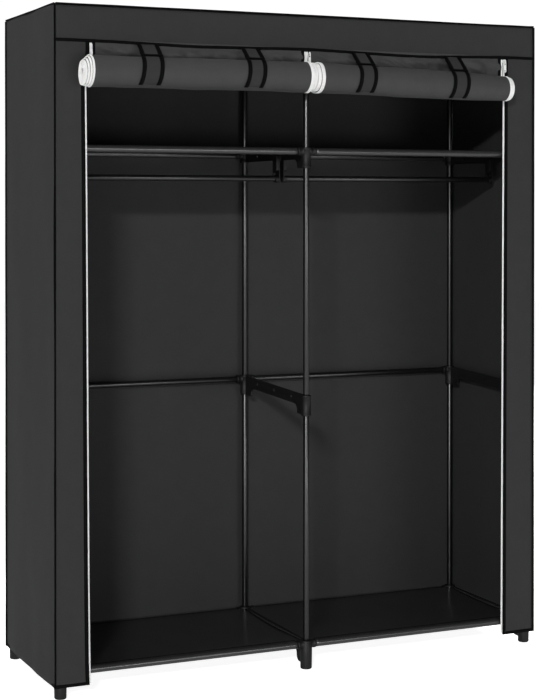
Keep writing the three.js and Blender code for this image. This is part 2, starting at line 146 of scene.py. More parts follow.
# Places that follow from them
HEADER_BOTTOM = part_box("door_left")[1].z - SEAM_LAP
OPENING_HALF = WIDTH / 2 - STRIP_WIDTH
BORE = TUBE_RADIUS + FIT
ROLLED_LENGTH = HEADER_BOTTOM - HEM - SHEET_DROP
ROLL_CENTRELINE = math.sqrt(ROLL_CORE**2 + ROLLED_LENGTH * ROLL_PITCH / math.pi)
ROLL_RADIUS = ROLL_CENTRELINE + CLOTH / 2
ROLL_TURNS = (ROLL_CENTRELINE - ROLL_CORE) / ROLL_PITCH
ROLL_Y = FRONT - FIT - ROLL_RADIUS
ROLL_Z = HEADER_BOTTOM - SHEET_DROP - ROLL_RADIUS
ROWS = {row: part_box(f"floor_tube_{row}_left") for row in ("front", "back")}
ROW_Y = {row: (low.y + high.y) / 2 for row, (low, high) in ROWS.items()}
MIDDLE_Y = (ROW_Y["front"] + ROW_Y["back"]) / 2
ROW_HALF = (ROW_Y["back"] - ROW_Y["front"]) / 2
COLUMN_X = {
    column: (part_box(f"pole_lower_front_{column}")[0].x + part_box(f"pole_lower_front_{column}")[1].x) / 2
    for column in ("left", "centre", "right")
}
BAYS = {"left": (1,), "centre": (-1, 1), "right": (-1,)}
SIDES = {"left": -1, "right": 1}
DOOR_BOX = {side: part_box(f"door_{side}") for side in SIDES}
STRAP_BOX = {(side, place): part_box(f"strap_{side}_{place}") for side in SIDES for place in ("outer", "inner")}
STRAP_X = {strap: (low.x + high.x) / 2 for strap, (low, high) in STRAP_BOX.items()}


def tube_level(node):
    """The height of a cross tube's middle."""
    low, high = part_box(node)
    return (low.z + high.z) / 2


LEVELS = {
    "foot": tube_level("floor_tube_front_left"),
    "middle": tube_level("middle_tube_back_left") - MIDDLE_BACK_RISE,
    "shelf": tube_level("shelf_tube_front_left"),
    "top": tube_level("top_tube_front_left"),
}


# Working with objects as by hand

def deselect_all():
    if bpy.context.object and bpy.context.object.mode != "OBJECT":
        bpy.ops.object.mode_set(mode="OBJECT")
    bpy.ops.object.select_all(action="DESELECT")


def added(operator, name, **settings):
    """A new object from one of Blender's add operators, with nothing else selected."""
    deselect_all()
    operator(**settings)
    bpy.context.object.name = name
    return bpy.context.object


def make_active(obj):
    deselect_all()
    obj.select_set(True)
    bpy.context.view_layer.objects.active = obj


@contextmanager
def editing(obj, everything=False, kind="FACE"):
    """Edit mode on one object, with all of it selected or nothing."""
    make_active(obj)
    bpy.ops.object.mode_set(mode="EDIT")
    bpy.ops.mesh.select_mode(type=kind)
    bpy.ops.mesh.select_all(action="SELECT" if everything else "DESELECT")
    yield
    bpy.ops.object.mode_set(mode="OBJECT")


def turn_outwards():
    """Turns all faces outwards, in edit mode."""
    bpy.ops.mesh.select_all(action="SELECT")
    bpy.ops.mesh.normals_make_consistent(inside=False)


def pick_faces(obj, wanted):
    """Selects, in edit mode, the faces whose middle and normal are wanted."""
    mesh = bmesh.from_edit_mesh(obj.data)
    for face in mesh.faces:
        face.select_set(wanted(face.calc_center_median(), face.normal))
    bmesh.update_edit_mesh(obj.data)


def modified(obj, kind, **settings):
    """The object with one modifier set and applied."""
    make_active(obj)
    modifier = obj.modifiers.new(kind.title(), kind)
    for name, value in settings.items():
        setattr(modifier, name, value)
    bpy.ops.object.modifier_apply(modifier=modifier.name)
    return obj


def rounded(obj, width, segments=2, angle=40):
    return modified(
        obj, "BEVEL", width=width, segments=segments, limit_method="ANGLE", angle_limit=math.radians(angle)
    )


def smooth(obj, angle=40):
    make_active(obj)
    bpy.ops.object.shade_smooth_by_angle(angle=math.radians(angle))
    return obj


def cut_by(obj, cutter):
    modified(obj, "BOOLEAN", operation="DIFFERENCE", solver="EXACT", object=cutter)
    bpy.data.objects.remove(cutter)
    return obj


def copied(obj, name, turn=None, place=(0, 0, 0)):
    """A copy with its own mesh, turned and moved in its points."""
    copy = obj.copy()
    copy.data = obj.data.copy()
    copy.name = name
    bpy.context.scene.collection.objects.link(copy)
    copy.data.transform(Matrix.Translation(place) @ (turn or Matrix.Identity(4)))
    return copy


def joined(objects, name):
    deselect_all()
    for obj in objects:
        obj.select_set(True)
    bpy.context.view_layer.objects.active = objects[0]
    bpy.ops.object.join()
    objects[0].name = name
    return objects[0]


def clear(objects):
    for obj in objects:
        bpy.data.objects.remove(obj)


def finished(obj, body, finish, replaces=()):
    """Gives a piece its finish and the body it rides on."""
    obj.data.materials.clear()
    obj.data.materials.append(finish_for(finish))
    if replaces:
        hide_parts(*replaces)
    if body:
        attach(obj, body)
    return obj


def outlined(name, points, thickness, plane="YZ"):
    """A flat plate: an outline filled, then extruded by its thickness about the plane."""
    plate = added(bpy.ops.mesh.primitive_circle_add, name, vertices=len(points), fill_type="NGON")
    for vertex, (across, up) in zip(plate.data.vertices, points):
        vertex.co = (-thickness / 2, across, up) if plane == "YZ" else (across, -thickness / 2, up)
    with editing(plate, everything=True):
        step = (thickness, 0, 0) if plane == "YZ" else (0, thickness, 0)
        bpy.ops.mesh.extrude_region_move(TRANSFORM_OT_translate={"value": step})
        turn_outwards()
    return plate


def spun(name, profile):
    """A closed profile of (radius, height) points, spun about the Z axis."""
    turned = added(bpy.ops.mesh.primitive_circle_add, name, vertices=len(profile), fill_type="NOTHING")
    for vertex, (radius, height) in zip(turned.data.vertices, profile):
        vertex.co = (radius, 0, height)
    with editing(turned, True, "VERT"):
        bpy.ops.mesh.spin(steps=40, angle=2 * math.pi, center=(0, 0, 0), axis=(0, 0, 1))
        bpy.ops.mesh.select_all(action="SELECT")
        bpy.ops.mesh.remove_doubles(threshold=2 * SAME_POINT)
        bpy.ops.mesh.dissolve_degenerate(threshold=2 * SAME_POINT)
        turn_outwards()
    return turned


def arc(across, up, radius, start, end, steps):
    """Points of an arc, angles in degrees."""
    angles = [math.radians(start + (end - start) * i / steps) for i in range(steps + 1)]
    return [(across + radius * math.cos(a), up + radius * math.sin(a)) for a in angles]


# Cloth

def cloth_grid(name, columns, rows, size, place):
    """A sheet as a grid, whose points lie where place(across, along) says, both given as shares.
    Its UV map is in metres of flat cloth."""
    sheet = added(bpy.ops.mesh.primitive_grid_add, name, x_subdivisions=columns, y_subdivisions=rows, size=1)
    points = [place(v.co.x + 0.5, v.co.y + 0.5) for v in sheet.data.vertices]
    sheet.data.vertices.foreach_set("co", np.array(points, np.float32).ravel())
    flat = np.zeros(2 * len(sheet.data.loops), np.float32)
    uv = sheet.data.uv_layers.active.data
    uv.foreach_get("uv", flat)
    uv.foreach_set("uv", (flat.reshape(-1, 2) * size).astype(np.float32).ravel())
    sheet.data.update()
    return sheet


def thickened(sheet, thickness=CLOTH, offset=-1):
    modified(sheet, "SOLIDIFY", thickness=thickness, offset=offset)
    make_active(sheet)
    bpy.ops.object.shade_smooth()
    return sheet


def cloth_piece(name, grid, size, place, body, finish, replaces=(), offset=-1):
    """A finished sheet: its grid of columns and rows, its flat size and the place of its points."""
    sheet = thickened(cloth_grid(name, *grid, size, place), CLOTH, offset)
    return finished(sheet, body, finish, replaces)


def tape(name, rows, length, size, line, body="frame", finish="bound_edge"):
    """A folded tape with rounded edges, its size given as width and thickness. line(share) gives its middle,
    its direction across and its face."""
    width, thickness = size

    def place(across, along):
        middle, side, face = line(along)
        angle = 2 * math.pi * across
        wide, thick = math.cos(angle), math.sin(angle)
        return (
            middle
            + side * (math.copysign(abs(wide) ** 0.45, wide) * width / 2)
            + face * (math.copysign(abs(thick) ** 0.6, thick) * thickness / 2)
        )

    strip = cloth_grid(name, 12, rows, (2 * (width + thickness), length), place)
    with editing(strip, True, "VERT"):
        bpy.ops.mesh.remove_doubles(threshold=SAME_POINT)
        bpy.ops.mesh.select_all(action="SELECT")
        bpy.ops.mesh.fill_holes(sides=0)
        turn_outwards()
    return finished(smooth(strip, 50), body, finish)


def slack(share, power=4):
    """From 0 where cloth is sewn to 1 where it is free."""
    return 1 - abs(2 * share - 1) ** power


def eased(share):
    """From 0 to 1, with a soft start and end."""
    share = min(1.0, max(0.0, share))
    return share * share * (3 - 2 * share)


def wave(x, y, z=0.0):
    """Soft waves between -1 and 1."""
    return 1.6 * noise.noise(Vector((x, y, z)))


def pucker(along, edge_distance, seed=0.0):
    """Small gathers of cloth beside a seam, which die away from it."""
    return wave(along * 42, seed) * math.exp(-edge_distance / 0.018)


# Finishes

class Finish:
    """A material, and short ways to add its nodes. Plain values lie on the shader's own sockets."""

    def __init__(self, name, **values):
        self.material = bpy.data.materials.new(name)
        self.material.use_nodes = True
        self.tree = self.material.node_tree
        self.shader = self.tree.nodes["Principled BSDF"]
        for socket, value in values.items():
            self.shader.inputs[socket.replace("_", " ")].default_value = value

    def node(self, kind, inputs=(), **settings):
        """The outputs of a new node, whose inputs are given as pairs of socket and value or link."""
        made = self.tree.nodes.new(f"ShaderNode{kind}")
        for name, value in settings.items():
            setattr(made, name, value)
        for socket, value in inputs:
            if isinstance(value, bpy.types.NodeSocket):
                self.tree.links.new(value, made.inputs[socket])
            else:
                made.inputs[socket].default_value = value
        return made.outputs

    def place(self):
        return self.node("TexCoord")["Object"]

    def flat_place(self):
        return self.node("UVMap")["UV"]

    def maths(self, operation, *values):
        return self.node("Math", enumerate(values), operation=operation)[0]

    def noise(self, place, scale, detail, **more):
        inputs = [("Vector", place), ("Scale", scale), ("Detail", detail), *more.items()]
        return self.node("TexNoise", inputs)["Fac"]

    def varied(self, colour, share, factor):
        """The colour made lighter and darker by a share, where the factor runs from 0 to 1."""
        ramp = self.tree.nodes.new("ShaderNodeValToRGB")
        self.tree.links.new(factor, ramp.inputs["Fac"])
        for element, position, sign in zip(ramp.color_ramp.elements, (0.3, 0.7), (-1, 1)):
            element.position = position
            element.color = (*(c * (1 + sign * share) for c in colour), 1)
        return ramp.outputs["Color"]

    def tinted(self, colour, share, factor):
        self.tree.links.new(self.varied(colour, share, factor), self.shader.inputs["Base Color"])

    def roughened(self, factor, low, high):
        rough = self.node("MapRange", [("Value", factor), ("To Min", low), ("To Max", high)])["Result"]
        self.tree.links.new(rough, self.shader.inputs["Roughness"])

    def raised(self, height, distance, strength):
        bump = self.node("Bump", [("Height", height), ("Distance", distance), ("Strength", strength)])
        self.tree.links.new(bump["Normal"], self.shader.inputs["Normal"])
        return self.material


def nonwoven(name, colour, roughness, gloss, relief, sheen):
    """Spun-bonded cloth: pressed dots in rows, loose fibres and faint cloudy patches."""
    cloth = Finish(
        name, Roughness=roughness, Specular_IOR_Level=gloss, Sheen_Weight=sheen, Sheen_Roughness=0.5
    )
    flat = cloth.flat_place()
    dots = cloth.node("TexVoronoi", [("Vector", flat), ("Scale", 520.0), ("Randomness", 0.22)])["Distance"]
    fibres = cloth.noise(flat, 900.0, 4.0, Distortion=1.2)
    clouds = cloth.noise(flat, 22.0, 6.0, Roughness=0.62)
    mixed = cloth.maths("MULTIPLY_ADD", fibres, 0.5, cloth.maths("MULTIPLY", clouds, 0.5))
    cloth.tinted(colour, 0.10, mixed)
    return cloth.raised(cloth.maths("MULTIPLY_ADD", fibres, 0.35, dots), relief, 0.7)


def bound_edge(name, colour):
    """Narrow black tape with crosswise ribs and a line of stitches along each side."""
    rib, stitch, gap, tape_width, stitch_place, thread_half = 0.0011, 0.0014, 0.0021, 0.0115, 0.0062, 0.00045
    tape_finish = Finish(name, Roughness=0.7, Specular_IOR_Level=0.04)
    maths = tape_finish.maths
    flat = tape_finish.flat_place()
    place = tape_finish.node("SeparateXYZ", [("Vector", flat)])
    ribs = maths("SINE", maths("MULTIPLY", place["Y"], 2 * math.pi / rib))
    stitched = maths("LESS_THAN", maths("PINGPONG", place["Y"], gap), stitch)
    near = maths("COMPARE", maths("PINGPONG", place["X"], tape_width), stitch_place, thread_half)
    thread = maths("MULTIPLY", near, stitched)
    base = tape_finish.varied(colour, 0.16, tape_finish.noise(flat, 260.0, 3.0))
    light = (*(2.5 * c + 0.002 for c in colour), 1)
    mix = tape_finish.node("Mix", [("Factor", thread), (6, base), (7, light)], data_type="RGBA")
    tape_finish.tree.links.new(mix[2], tape_finish.shader.inputs["Base Color"])
    return tape_finish.raised(maths("MULTIPLY_ADD", thread, 2.0, maths("MULTIPLY", ribs, 0.35)), 0.00022, 0.8)


def painted_steel(name, colour):
    """Black paint baked on steel tube: a faint orange peel, dulled in patches by handling."""
    paint = Finish(name, IOR=1.5, Coat_Weight=0.2, Coat_Roughness=0.16)
    place = paint.place()
    peel, rubbed = paint.noise(place, 700.0, 2.0), paint.noise(place, 34.0, 5.0)
    paint.tinted(colour, 0.2, rubbed)
    paint.roughened(rubbed, 0.30, 0.38)
    return paint.raised(peel, 0.00002, 0.4)


def moulded_plastic(name, colour):
    """Black polypropylene with the fine spark-eroded grain of its mould."""
    plastic = Finish(name, IOR=1.49, Specular_IOR_Level=0.3)
    place = plastic.place()
    grain = plastic.node("TexVoronoi", [("Vector", place), ("Scale", 900.0)], feature="SMOOTH_F1")["Distance"]
    flow, specks = plastic.noise(place, 60.0, 6.0), plastic.noise(place, 320.0, 2.0)
    plastic.tinted(colour, 0.5, specks)
    plastic.roughened(flow, 0.5, 0.65)
    return plastic.raised(grain, 0.0002, 0.45)


def zip_plastic(name, colour):
    """White nylon coil, a little darker where it was handled."""
    nylon = Finish(name, Subsurface_Weight=0.08, Subsurface_Scale=0.002, IOR=1.5)
    soil = nylon.noise(nylon.place(), 90.0, 4.0)
    nylon.tinted(colour, 0.07, soil)
    nylon.roughened(soil, 0.28, 0.5)
    return nylon.raised(soil, 0.0001, 0.3)


def zip_tape(name, colour):
    """White woven zip tape, in a fine herringbone."""
    slant_width, thread_pitch = 0.0012, 0.0008
    woven = Finish(name, Roughness=0.75, Sheen_Weight=0.1)
    maths = woven.maths
    place = woven.node("SeparateXYZ", [("Vector", woven.flat_place())])
    rows = maths("ADD", place["Y"], maths("PINGPONG", place["X"], slant_width))
    weave = maths("SINE", maths("MULTIPLY", rows, 2 * math.pi / thread_pitch))
    woven.tinted(colour, 0.08, maths("MULTIPLY_ADD", weave, 0.5, 0.5))
    return woven.raised(weave, 0.00012, 0.6)


# What a user can change

def colour_value(name, description, default):
    return bpy.props.FloatVectorProperty(
        name=name, description=description, subtype="COLOR", size=3, min=0, max=1, default=default
    )


def length_value(name, description, default):
    settings = {"subtype": "DISTANCE", "unit": "LENGTH", "min": 0, "precision": 4}
    return bpy.props.FloatProperty(name=name, description=description, default=default, **settings)


def light_value(name, description, default):
    return bpy.props.FloatProperty(name=name, description=description, min=0, default=default)


class ClothSettings(bpy.types.PropertyGroup):
    """Cloth of the cover, doors, straps and shelves"""

    cover_colour: colour_value("Cover colour", "Grey of the cover and the straps", (0.0350, 0.0350, 0.0356))
    # The doors' grey is the cover's grey made half as light again: a painted highlight for the light that the
    # rolls and the cloth above them catch.
    door_painted_light_colour: colour_value("Door colour", "Grey of the doors", (0.0530, 0.0530, 0.0538))
    shelf_colour: colour_value("Shelf colour", "Grey of the shelf cloths", (0.0245, 0.0245, 0.0251))
    binding_colour: colour_value("Binding colour", "Black of the bound edges", (0.0022, 0.0022, 0.0023))
    ripple: length_value("Ripple", "How far the stretched cloth waves out of flat", 0.0026)
    binding_width: length_value("Binding width", "Width of the folded tape on the edges", 0.009)
    strap_binding_width: length_value("Strap binding width", "Width of the folded tape on the straps", 0.0112)
    binding_thickness: length_value("Binding thickness", "Thickness of a bound edge", 0.0028)
    shelf_sag: length_value("Shelf sag", "How far a shelf cloth hangs down in its middle", 0.010)


class FrameSettings(bpy.types.PropertyGroup):
    """Tubes and brackets"""

    steel_colour: colour_value("Steel colour", "Paint on the tubes", (0.0030, 0.0030, 0.0032))
    plastic_colour: colour_value("Plastic colour", "Moulded brackets and feet", (0.0042, 0.0042, 0.0044))
    edge_radius: length_value("Edge radius", "Rounding of the moulded edges", 0.0009)


class ZipSettings(bpy.types.PropertyGroup):
    """Zips, their sliders and pulls"""

    zip_colour: colour_value("Zip colour", "White of the coil, tape, slider and pull", (0.90, 0.90, 0.89))
    tooth_pitch: length_value("Tooth pitch", "Distance from tooth to tooth", 0.0025)
    tooth_width: length_value("Tooth width", "Width of one side's teeth", 0.0040)
    tooth_height: length_value("Tooth height", "Thickness of the teeth", 0.0022)


class StageSettings(bpy.types.PropertyGroup):
    """Floor, light and camera"""

    floor_colour: colour_value("Floor colour", "Pale floor under the wardrobe", (0.92, 0.92, 0.92))
    key_power: light_value("Key power", "Power of the main light, far off on the left", 645)
    side_power: light_value("Side power", "Power of the light high on the left side", 60)
    fill_power: light_value("Fill power", "Power of the wide low light in front", 96)
    gleam_power: light_value("Gleam power", "Power of the tall light seen only in gleams", 800)
    back_power: light_value("Back power", "Power of the light behind", 420)
    floor_light: light_value("Floor light", "Light that the lit floor throws up", 0.27)
    floor_glow: light_value("Floor glow", "Brightness that the seen floor has by itself", 0.90)
    sky_strength: light_value("Sky strength", "Strength of the light from all round", 0.08)
    backdrop_strength: light_value("Backdrop strength", "Brightness of the wall round the floor", 1.05)


def finish_for(kind):
    """The material of one kind, made the first time it is asked for."""
    if kind in bpy.data.materials:
        return bpy.data.materials[kind]
    scene = bpy.context.scene
    cloth, steel, zips = scene.wardrobe_cloth, scene.wardrobe_frame, scene.wardrobe_zips
    maker, *values = {
        "cover_cloth": (nonwoven, cloth.cover_colour, 0.8, 0.08, 0.00018, 0.02),
        # The doors' finish is the cover cloth with its grey painted lighter, a painted highlight.
        "door_cloth": (nonwoven, cloth.door_painted_light_colour, 0.7, 0.15, 0.00018, 0.02),
        "shelf_nonwoven": (nonwoven, cloth.shelf_colour, 0.28, 0.6, 0.00003, 0.0),
        "bound_edge": (bound_edge, cloth.binding_colour),
        "painted_steel": (painted_steel, steel.steel_colour),
        "moulded_plastic": (moulded_plastic, steel.plastic_colour),
        "zip_plastic": (zip_plastic, zips.zip_colour),
        "zip_tape": (zip_tape, zips.zip_colour),
    }[kind]
    return maker(kind, *values)


# Steel tubes

class WARDROBE_OT_tubes(bpy.types.Operator):
    """Poles, cross tubes and hanging rods: thin steel tubes with turned rims"""

    bl_idname = "wardrobe.tubes"
    bl_label = "Tubes"

    def execute(self, context):
        pattern = self.pattern()
        tubes = ("pole_", "_tube_", "_rod_")
        for name in [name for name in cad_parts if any(part in name for part in tubes)]:
            low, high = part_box(name)
            size = high - low
            upright = size.z > size.x
            length = max(size.x, size.z)
            piece = copied(pattern, f"{name}_steel")
            for vertex in piece.data.vertices:
                if vertex.co.z > 0.5:
                    vertex.co.z += length - 1
            middle = (low + high) / 2
            start = Vector((middle.x, middle.y, low.z)) if upright else Vector((low.x, middle.y, middle.z))
            turn = Matrix.Identity(4) if upright else Matrix.Rotation(math.pi / 2, 4, "Y")
            piece.data.transform(Matrix.Translation(start) @ turn)
            finished(piece, "frame", "painted_steel", [name])
        clear([pattern])
        return {"FINISHED"}

    def pattern(self):
        """A tube one metre long, from which the others are drawn out."""
        settings = {"vertices": 40, "radius": TUBE_RADIUS, "depth": 1, "location": (0, 0, 0.5)}
        tube = added(bpy.ops.mesh.primitive_cylinder_add, "tube", end_fill_type="NOTHING", **settings)
        bpy.ops.object.transform_apply(location=True)
        modified(tube, "SOLIDIFY", thickness=TUBE_WALL, offset=-1)
        rounded(tube, TUBE_WALL / 3, 2, 60)
        return smooth(tube)


# Plastic brackets

def sleeve(radius, low, high, edge):
    """A hollow sleeve about the Z axis, with rounded rims and a shallow collar at each end."""
    collar, step = 0.0045, 0.0005
    profile = [
        (BORE, low + edge / 2),
        (BORE + edge / 2, low),
        (radius - edge, low),
        (radius, low + edge),
        (radius, low + collar),
        (radius - step, low + collar + step),
        (radius - step, high - collar - step),
        (radius, high - collar),
        (radius, high - edge),
        (radius - edge, high),
        (BORE + edge / 2, high),
        (BORE, high - edge / 2),
    ]
    return smooth(spun("sleeve", profile), 50)


def closed_foot(edge):
    """A foot with its round tip, slight taper and bore for the pole."""
    bottom = -LEVELS["foot"]
    rim = arc(FOOT_TIP_RADIUS - 0.001, bottom + 0.004, 0.004, -90, -12, 5)
    profile = [
        (0, bottom),
        *rim,
        (FOOT_RADIUS, bottom + FOOT_TAPER_HEIGHT),
        (FOOT_RADIUS, SLEEVE_ABOVE - edge),
        (FOOT_RADIUS - edge, SLEEVE_ABOVE),
        (BORE + edge / 2, SLEEVE_ABOVE),
        (BORE, SLEEVE_ABOVE - edge / 2),
        (BORE, bottom + FOOT_FLOOR),
        (0, bottom + FOOT_FLOOR),
    ]
    return smooth(spun("foot", profile), 50)


def risen(y, back_rise):
    """How far a bracket that rises to the back has risen at y."""
    return back_rise * (y + ROW_HALF) / (2 * ROW_HALF)


def gusset(side, bottom, root, corner):
    """The lower outline of one end of the web, from its sleeve inwards: a deep gusset, then a fillet."""
    end, inner = ROW_HALF - root + 0.0015, ROW_HALF - root - GUSSET_WIDTH
    if bottom <= WEB_BELOW:
        return [(side * end, -bottom)]
    rounding = arc(inner + corner, corner - bottom, corner, -90, -180, 6)
    fillet = arc(inner - GUSSET_FILLET, -WEB_BELOW - GUSSET_FILLET, GUSSET_FILLET, 0, 90, 8)
    return [(side * y, z) for y, z in [(end, -bottom), *rounding, *fillet]]


def web(edge, bottom, root, corner=GUSSET_CORNER, back_bottom=None, back_rise=0.0):
    """The flat bar between the two sleeves: an I-shaped section with a curved gusset under each end."""
    end = ROW_HALF - root + 0.0015
    front = gusset(-1, bottom, root, corner)
    back = gusset(1, back_bottom or bottom, root, corner)
    points = [(end, WEB_TOP), (-end, WEB_TOP), *front, *reversed(back)]
    bar = outlined("web", [(y, z + risen(y, back_rise)) for y, z in points], WEB_THICKNESS)
    with editing(bar):
        pick_faces(bar, lambda middle, normal: abs(normal.x) > 0.9)
        bpy.ops.mesh.inset(thickness=0.0032, depth=-0.0017)
    rounded(bar, edge * 0.6)
    for place in (-WEB_HOLE_SPACING, 0, WEB_HOLE_SPACING):
        drill = added(
            bpy.ops.mesh.primitive_cylinder_add,
            "drill",
            vertices=28,
            radius=WEB_HOLE_RADIUS,
            depth=3 * WEB_THICKNESS,
            location=(0, place, (WEB_TOP - WEB_BELOW) / 2 + risen(place, back_rise)),
            rotation=(0, math.pi / 2, 0),
        )
        cut_by(bar, drill)
    return smooth(bar)


def rod_hook(bay, edge):
    """An open hook on a flat arm, with a floor that the rod's end meets."""
    front, back = -BORE - HOOK_LIP, BORE + HOOK_BACK
    top, mouth = HOOK_ARM - WEB_BELOW, -ROD_DROP + 2 * BORE
    outside = BORE + HOOK_LIP
    bottom = arc(0, -ROD_DROP, outside, 0, -180, 14)
    seat = arc(0, -ROD_DROP, BORE, 180, 360, 14)
    below = [(back, top), (back, -ROD_DROP), *bottom[1:]]
    parts = []
    for outline, start, size in (
        (
            [*below, *seat, (BORE, mouth), (front, mouth + 0.006), (front, top)],
            HOOK_OFFSET + HOOK_FLOOR,
            HOOK_THICKNESS - HOOK_FLOOR,
        ),
        ([*below, (front, top)], HOOK_OFFSET, HOOK_FLOOR),
        ([(back, top), (back, -WEB_BELOW), (front, -WEB_BELOW), (front, top)], 0, HOOK_OFFSET + 0.001),
    ):
        part = rounded(outlined("hook", outline, size), min(edge, size / 4) * 0.8)
        part.data.transform(Matrix.Translation((bay * (start + size / 2), -ROD_FORWARD, 0)))
        parts.append(part)
    return smooth(joined(parts, "rod_hook"))


class WARDROBE_OT_brackets(bpy.types.Operator):
    """Moulded side brackets, with their feet, sleeves, sockets and rod hooks"""

    bl_idname = "wardrobe.brackets"
    bl_label = "Brackets"

    def execute(self, context):
        edge = context.scene.wardrobe_frame.edge_radius
        patterns = {
            "foot": closed_foot(edge),
            "sleeve": sleeve(SLEEVE_RADIUS, -SLEEVE_BELOW, SLEEVE_ABOVE, edge),
            "socket": sleeve(SOCKET_RADIUS, BORE - 0.001, SOCKET_REACH, edge),
            "short_sleeve": sleeve(SLEEVE_RADIUS, -SHELF_BACK_SLEEVE_BELOW, SLEEVE_ABOVE, edge),
            "foot_web": web(edge, LEVELS["foot"] - FOOT_GUSSET_BOTTOM, FOOT_RADIUS, FOOT_GUSSET_CORNER),
            "middle_web": web(edge, SLEEVE_BELOW, SLEEVE_RADIUS, back_rise=MIDDLE_BACK_RISE),
            "shelf_web": web(edge, SLEEVE_BELOW, SLEEVE_RADIUS, back_bottom=WEB_BELOW),
            "top_web": web(edge, SLEEVE_BELOW, SLEEVE_RADIUS),
            "hook_1": rod_hook(1, edge),
            "hook_-1": rod_hook(-1, edge),
        }
        for level, height in LEVELS.items():
            for column, x in COLUMN_X.items():
                self.bracket(patterns, level, column, Vector((x, MIDDLE_Y, height)))
        clear(patterns.values())
        return {"FINISHED"}

    def bracket(self, patterns, level, column, place):
        parts = [copied(patterns[f"{level}_web"], "part")]
        front_post = "foot" if level == "foot" else "sleeve"
        for row, post in ((-1, front_post), (1, "short_sleeve" if level == "shelf" else front_post)):
            y = row * ROW_HALF
            spot = (0, y, risen(y, MIDDLE_BACK_RISE) if level == "middle" else 0)
            parts.append(copied(patterns[post], "part", place=spot))
            if level == "middle" and row == -1:
                continue
            for bay in BAYS[column]:
                turn = Matrix.Rotation(bay * math.pi / 2, 4, "Y")
                parts.append(copied(patterns["socket"], "part", turn, spot))
        if level == "shelf":
            parts += [copied(patterns[f"hook_{bay}"], "part") for bay in BAYS[column]]
        name = f"{level}_bracket_{column}"
        piece = joined(parts, f"{name}_moulding")
        piece.data.transform(Matrix.Translation(place))
        finished(piece, "frame", "moulded_plastic", [name])


# Shelf cloths

class WARDROBE_OT_shelf_cloths(bpy.types.Operator):
    """Floor and top shelf cloths, hemmed round their front and back tubes"""

    bl_idname = "wardrobe.shelf_cloths"
    bl_label = "Shelf Cloths"

    def execute(self, context):
        sag = context.scene.wardrobe_cloth.shelf_sag
        for shelf, level, hang in (("floor", "foot", sag), ("top_shelf", "shelf", sag / 3)):
            for side in SIDES:
                tube = f"{'floor' if shelf == 'floor' else 'shelf'}_tube_front_{side}"
                self.shelf(f"{shelf}_cloth_{side}", tube, LEVELS[level], hang)
        return {"FINISHED"}

    def shelf(self, name, tube, height, sag):
        low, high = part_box(name)
        middle_x = (low.x + high.x) / 2
        flat_width = high.x - low.x
        hem_width = flat_width - 2 * (SOCKET_REACH + 0.001 - WEB_THICKNESS / 2 - FIT)
        notch = ROW_HALF - FOOT_RADIUS - 0.001
        radius = BORE + CLOTH
        hem_length, span = radius * HEM_WRAP, 2 * ROW_HALF
        length = 2 * hem_length + span
        seed = middle_x + height

        def section(distance):
            """Height and depth of the cloth's upper face at a distance along it, front hem first."""
            if distance < hem_length:
                angle = math.pi / 2 + (hem_length - distance) / radius
                return -ROW_HALF + radius * math.cos(angle), radius * math.sin(angle)
            if distance > length - hem_length:
                angle = math.pi / 2 - (distance - length + hem_length) / radius
                return ROW_HALF + radius * math.cos(angle), radius * math.sin(angle)
            return distance - hem_length - ROW_HALF, radius

        # Rows lie closer round the hems and at the notches than on the flat
        hem_rows, notch_rows, flat_rows, nick = 22, 3, 44, 0.0004
        edge = ROW_HALF - notch
        flat_start, flat_length = hem_length + edge + nick, span - 2 * edge - 2 * nick
        stops = [hem_length * i / hem_rows for i in range(hem_rows)]
        stops += [hem_length + edge * i / notch_rows for i in range(notch_rows)]
        stops += [flat_start + flat_length * i / flat_rows for i in range(flat_rows + 1)]
        stops += [length - stop for stop in reversed(stops[: hem_rows + notch_rows])]

        def place(across, along):
            y, z = section(stops[round(along * (len(stops) - 1))])
            x = middle_x + (across - 0.5) * (flat_width if abs(y) < notch else hem_width)
            share = (y + ROW_HALF) / (2 * ROW_HALF)
            if 0 < share < 1:
                to_edge = min(share, 1 - share)
                hang = (0.7 + 0.3 * slack(across, 2.4)) * math.sin(math.pi * share) ** 0.8
                z -= hang * sag * (1 + 0.25 * wave(x * 5, y * 4, seed))
                z += 0.0006 * wave(x * 16, y * 7, seed) * hang
                z -= 0.0007 * abs(wave(x * 38, seed)) * math.exp(-to_edge / 0.06) * min(1, share * 40)
            return Vector((x, MIDDLE_Y + y, height + z))

        size, grid = (flat_width, length), (64, len(stops) - 1)
        finish, slot = "shelf_nonwoven", "shelf_cloth"
        sheet = cloth_piece(f"{name}_sheet", grid, size, place, "frame", finish, [name])
        top = height + radius
        seams = [self.hem_seam(name, row, middle_x, hem_width, top, ROW_HALF - radius) for row in (-1, 1)]

    def hem_seam(self, name, row, middle_x, width, top, hem_end):
        """The row of thread that closes a hem, just inside the tube."""
        def line(share):
            x = middle_x + (share - 0.5) * width
            rise = 0.0001 + 0.0003 * wave(x * 30, row)
            return Vector((x, MIDDLE_Y + row * (hem_end - 0.003), top + rise)), BACKWARD, UP

        return tape(f"{name}_hem_seam_{'front' if row < 0 else 'back'}", 60, width, (0.0022, 0.0009), line)


# Cover

def strip_edge(side, z):
    """Where a front strip's inner edge lies at height z. The weight of the stepped roll draws the left one
    aside under it."""
    share = (z - HEM) / (HEADER_BOTTOM - HEM)
    if side == "right":
        inwards, more_at_hem = 0.004, 0.006
        return OPENING_HALF - inwards - more_at_hem * (1 - share)
    aside, more_at_roll, fade = 0.0105, 0.003, 0.055
    drawn = aside * max(0.0, share) ** 0.45 + more_at_roll * share**6
    return -OPENING_HALF - drawn * (1 - eased((z - ROLL_Z) / fade))


def strip_out(x, z, sign, ripple):
    """How far a front strip's free edge stands out of the front's plane."""
    return ripple * 0.3 * (1 + wave(x * 8, z * 2.4, 5 + sign))


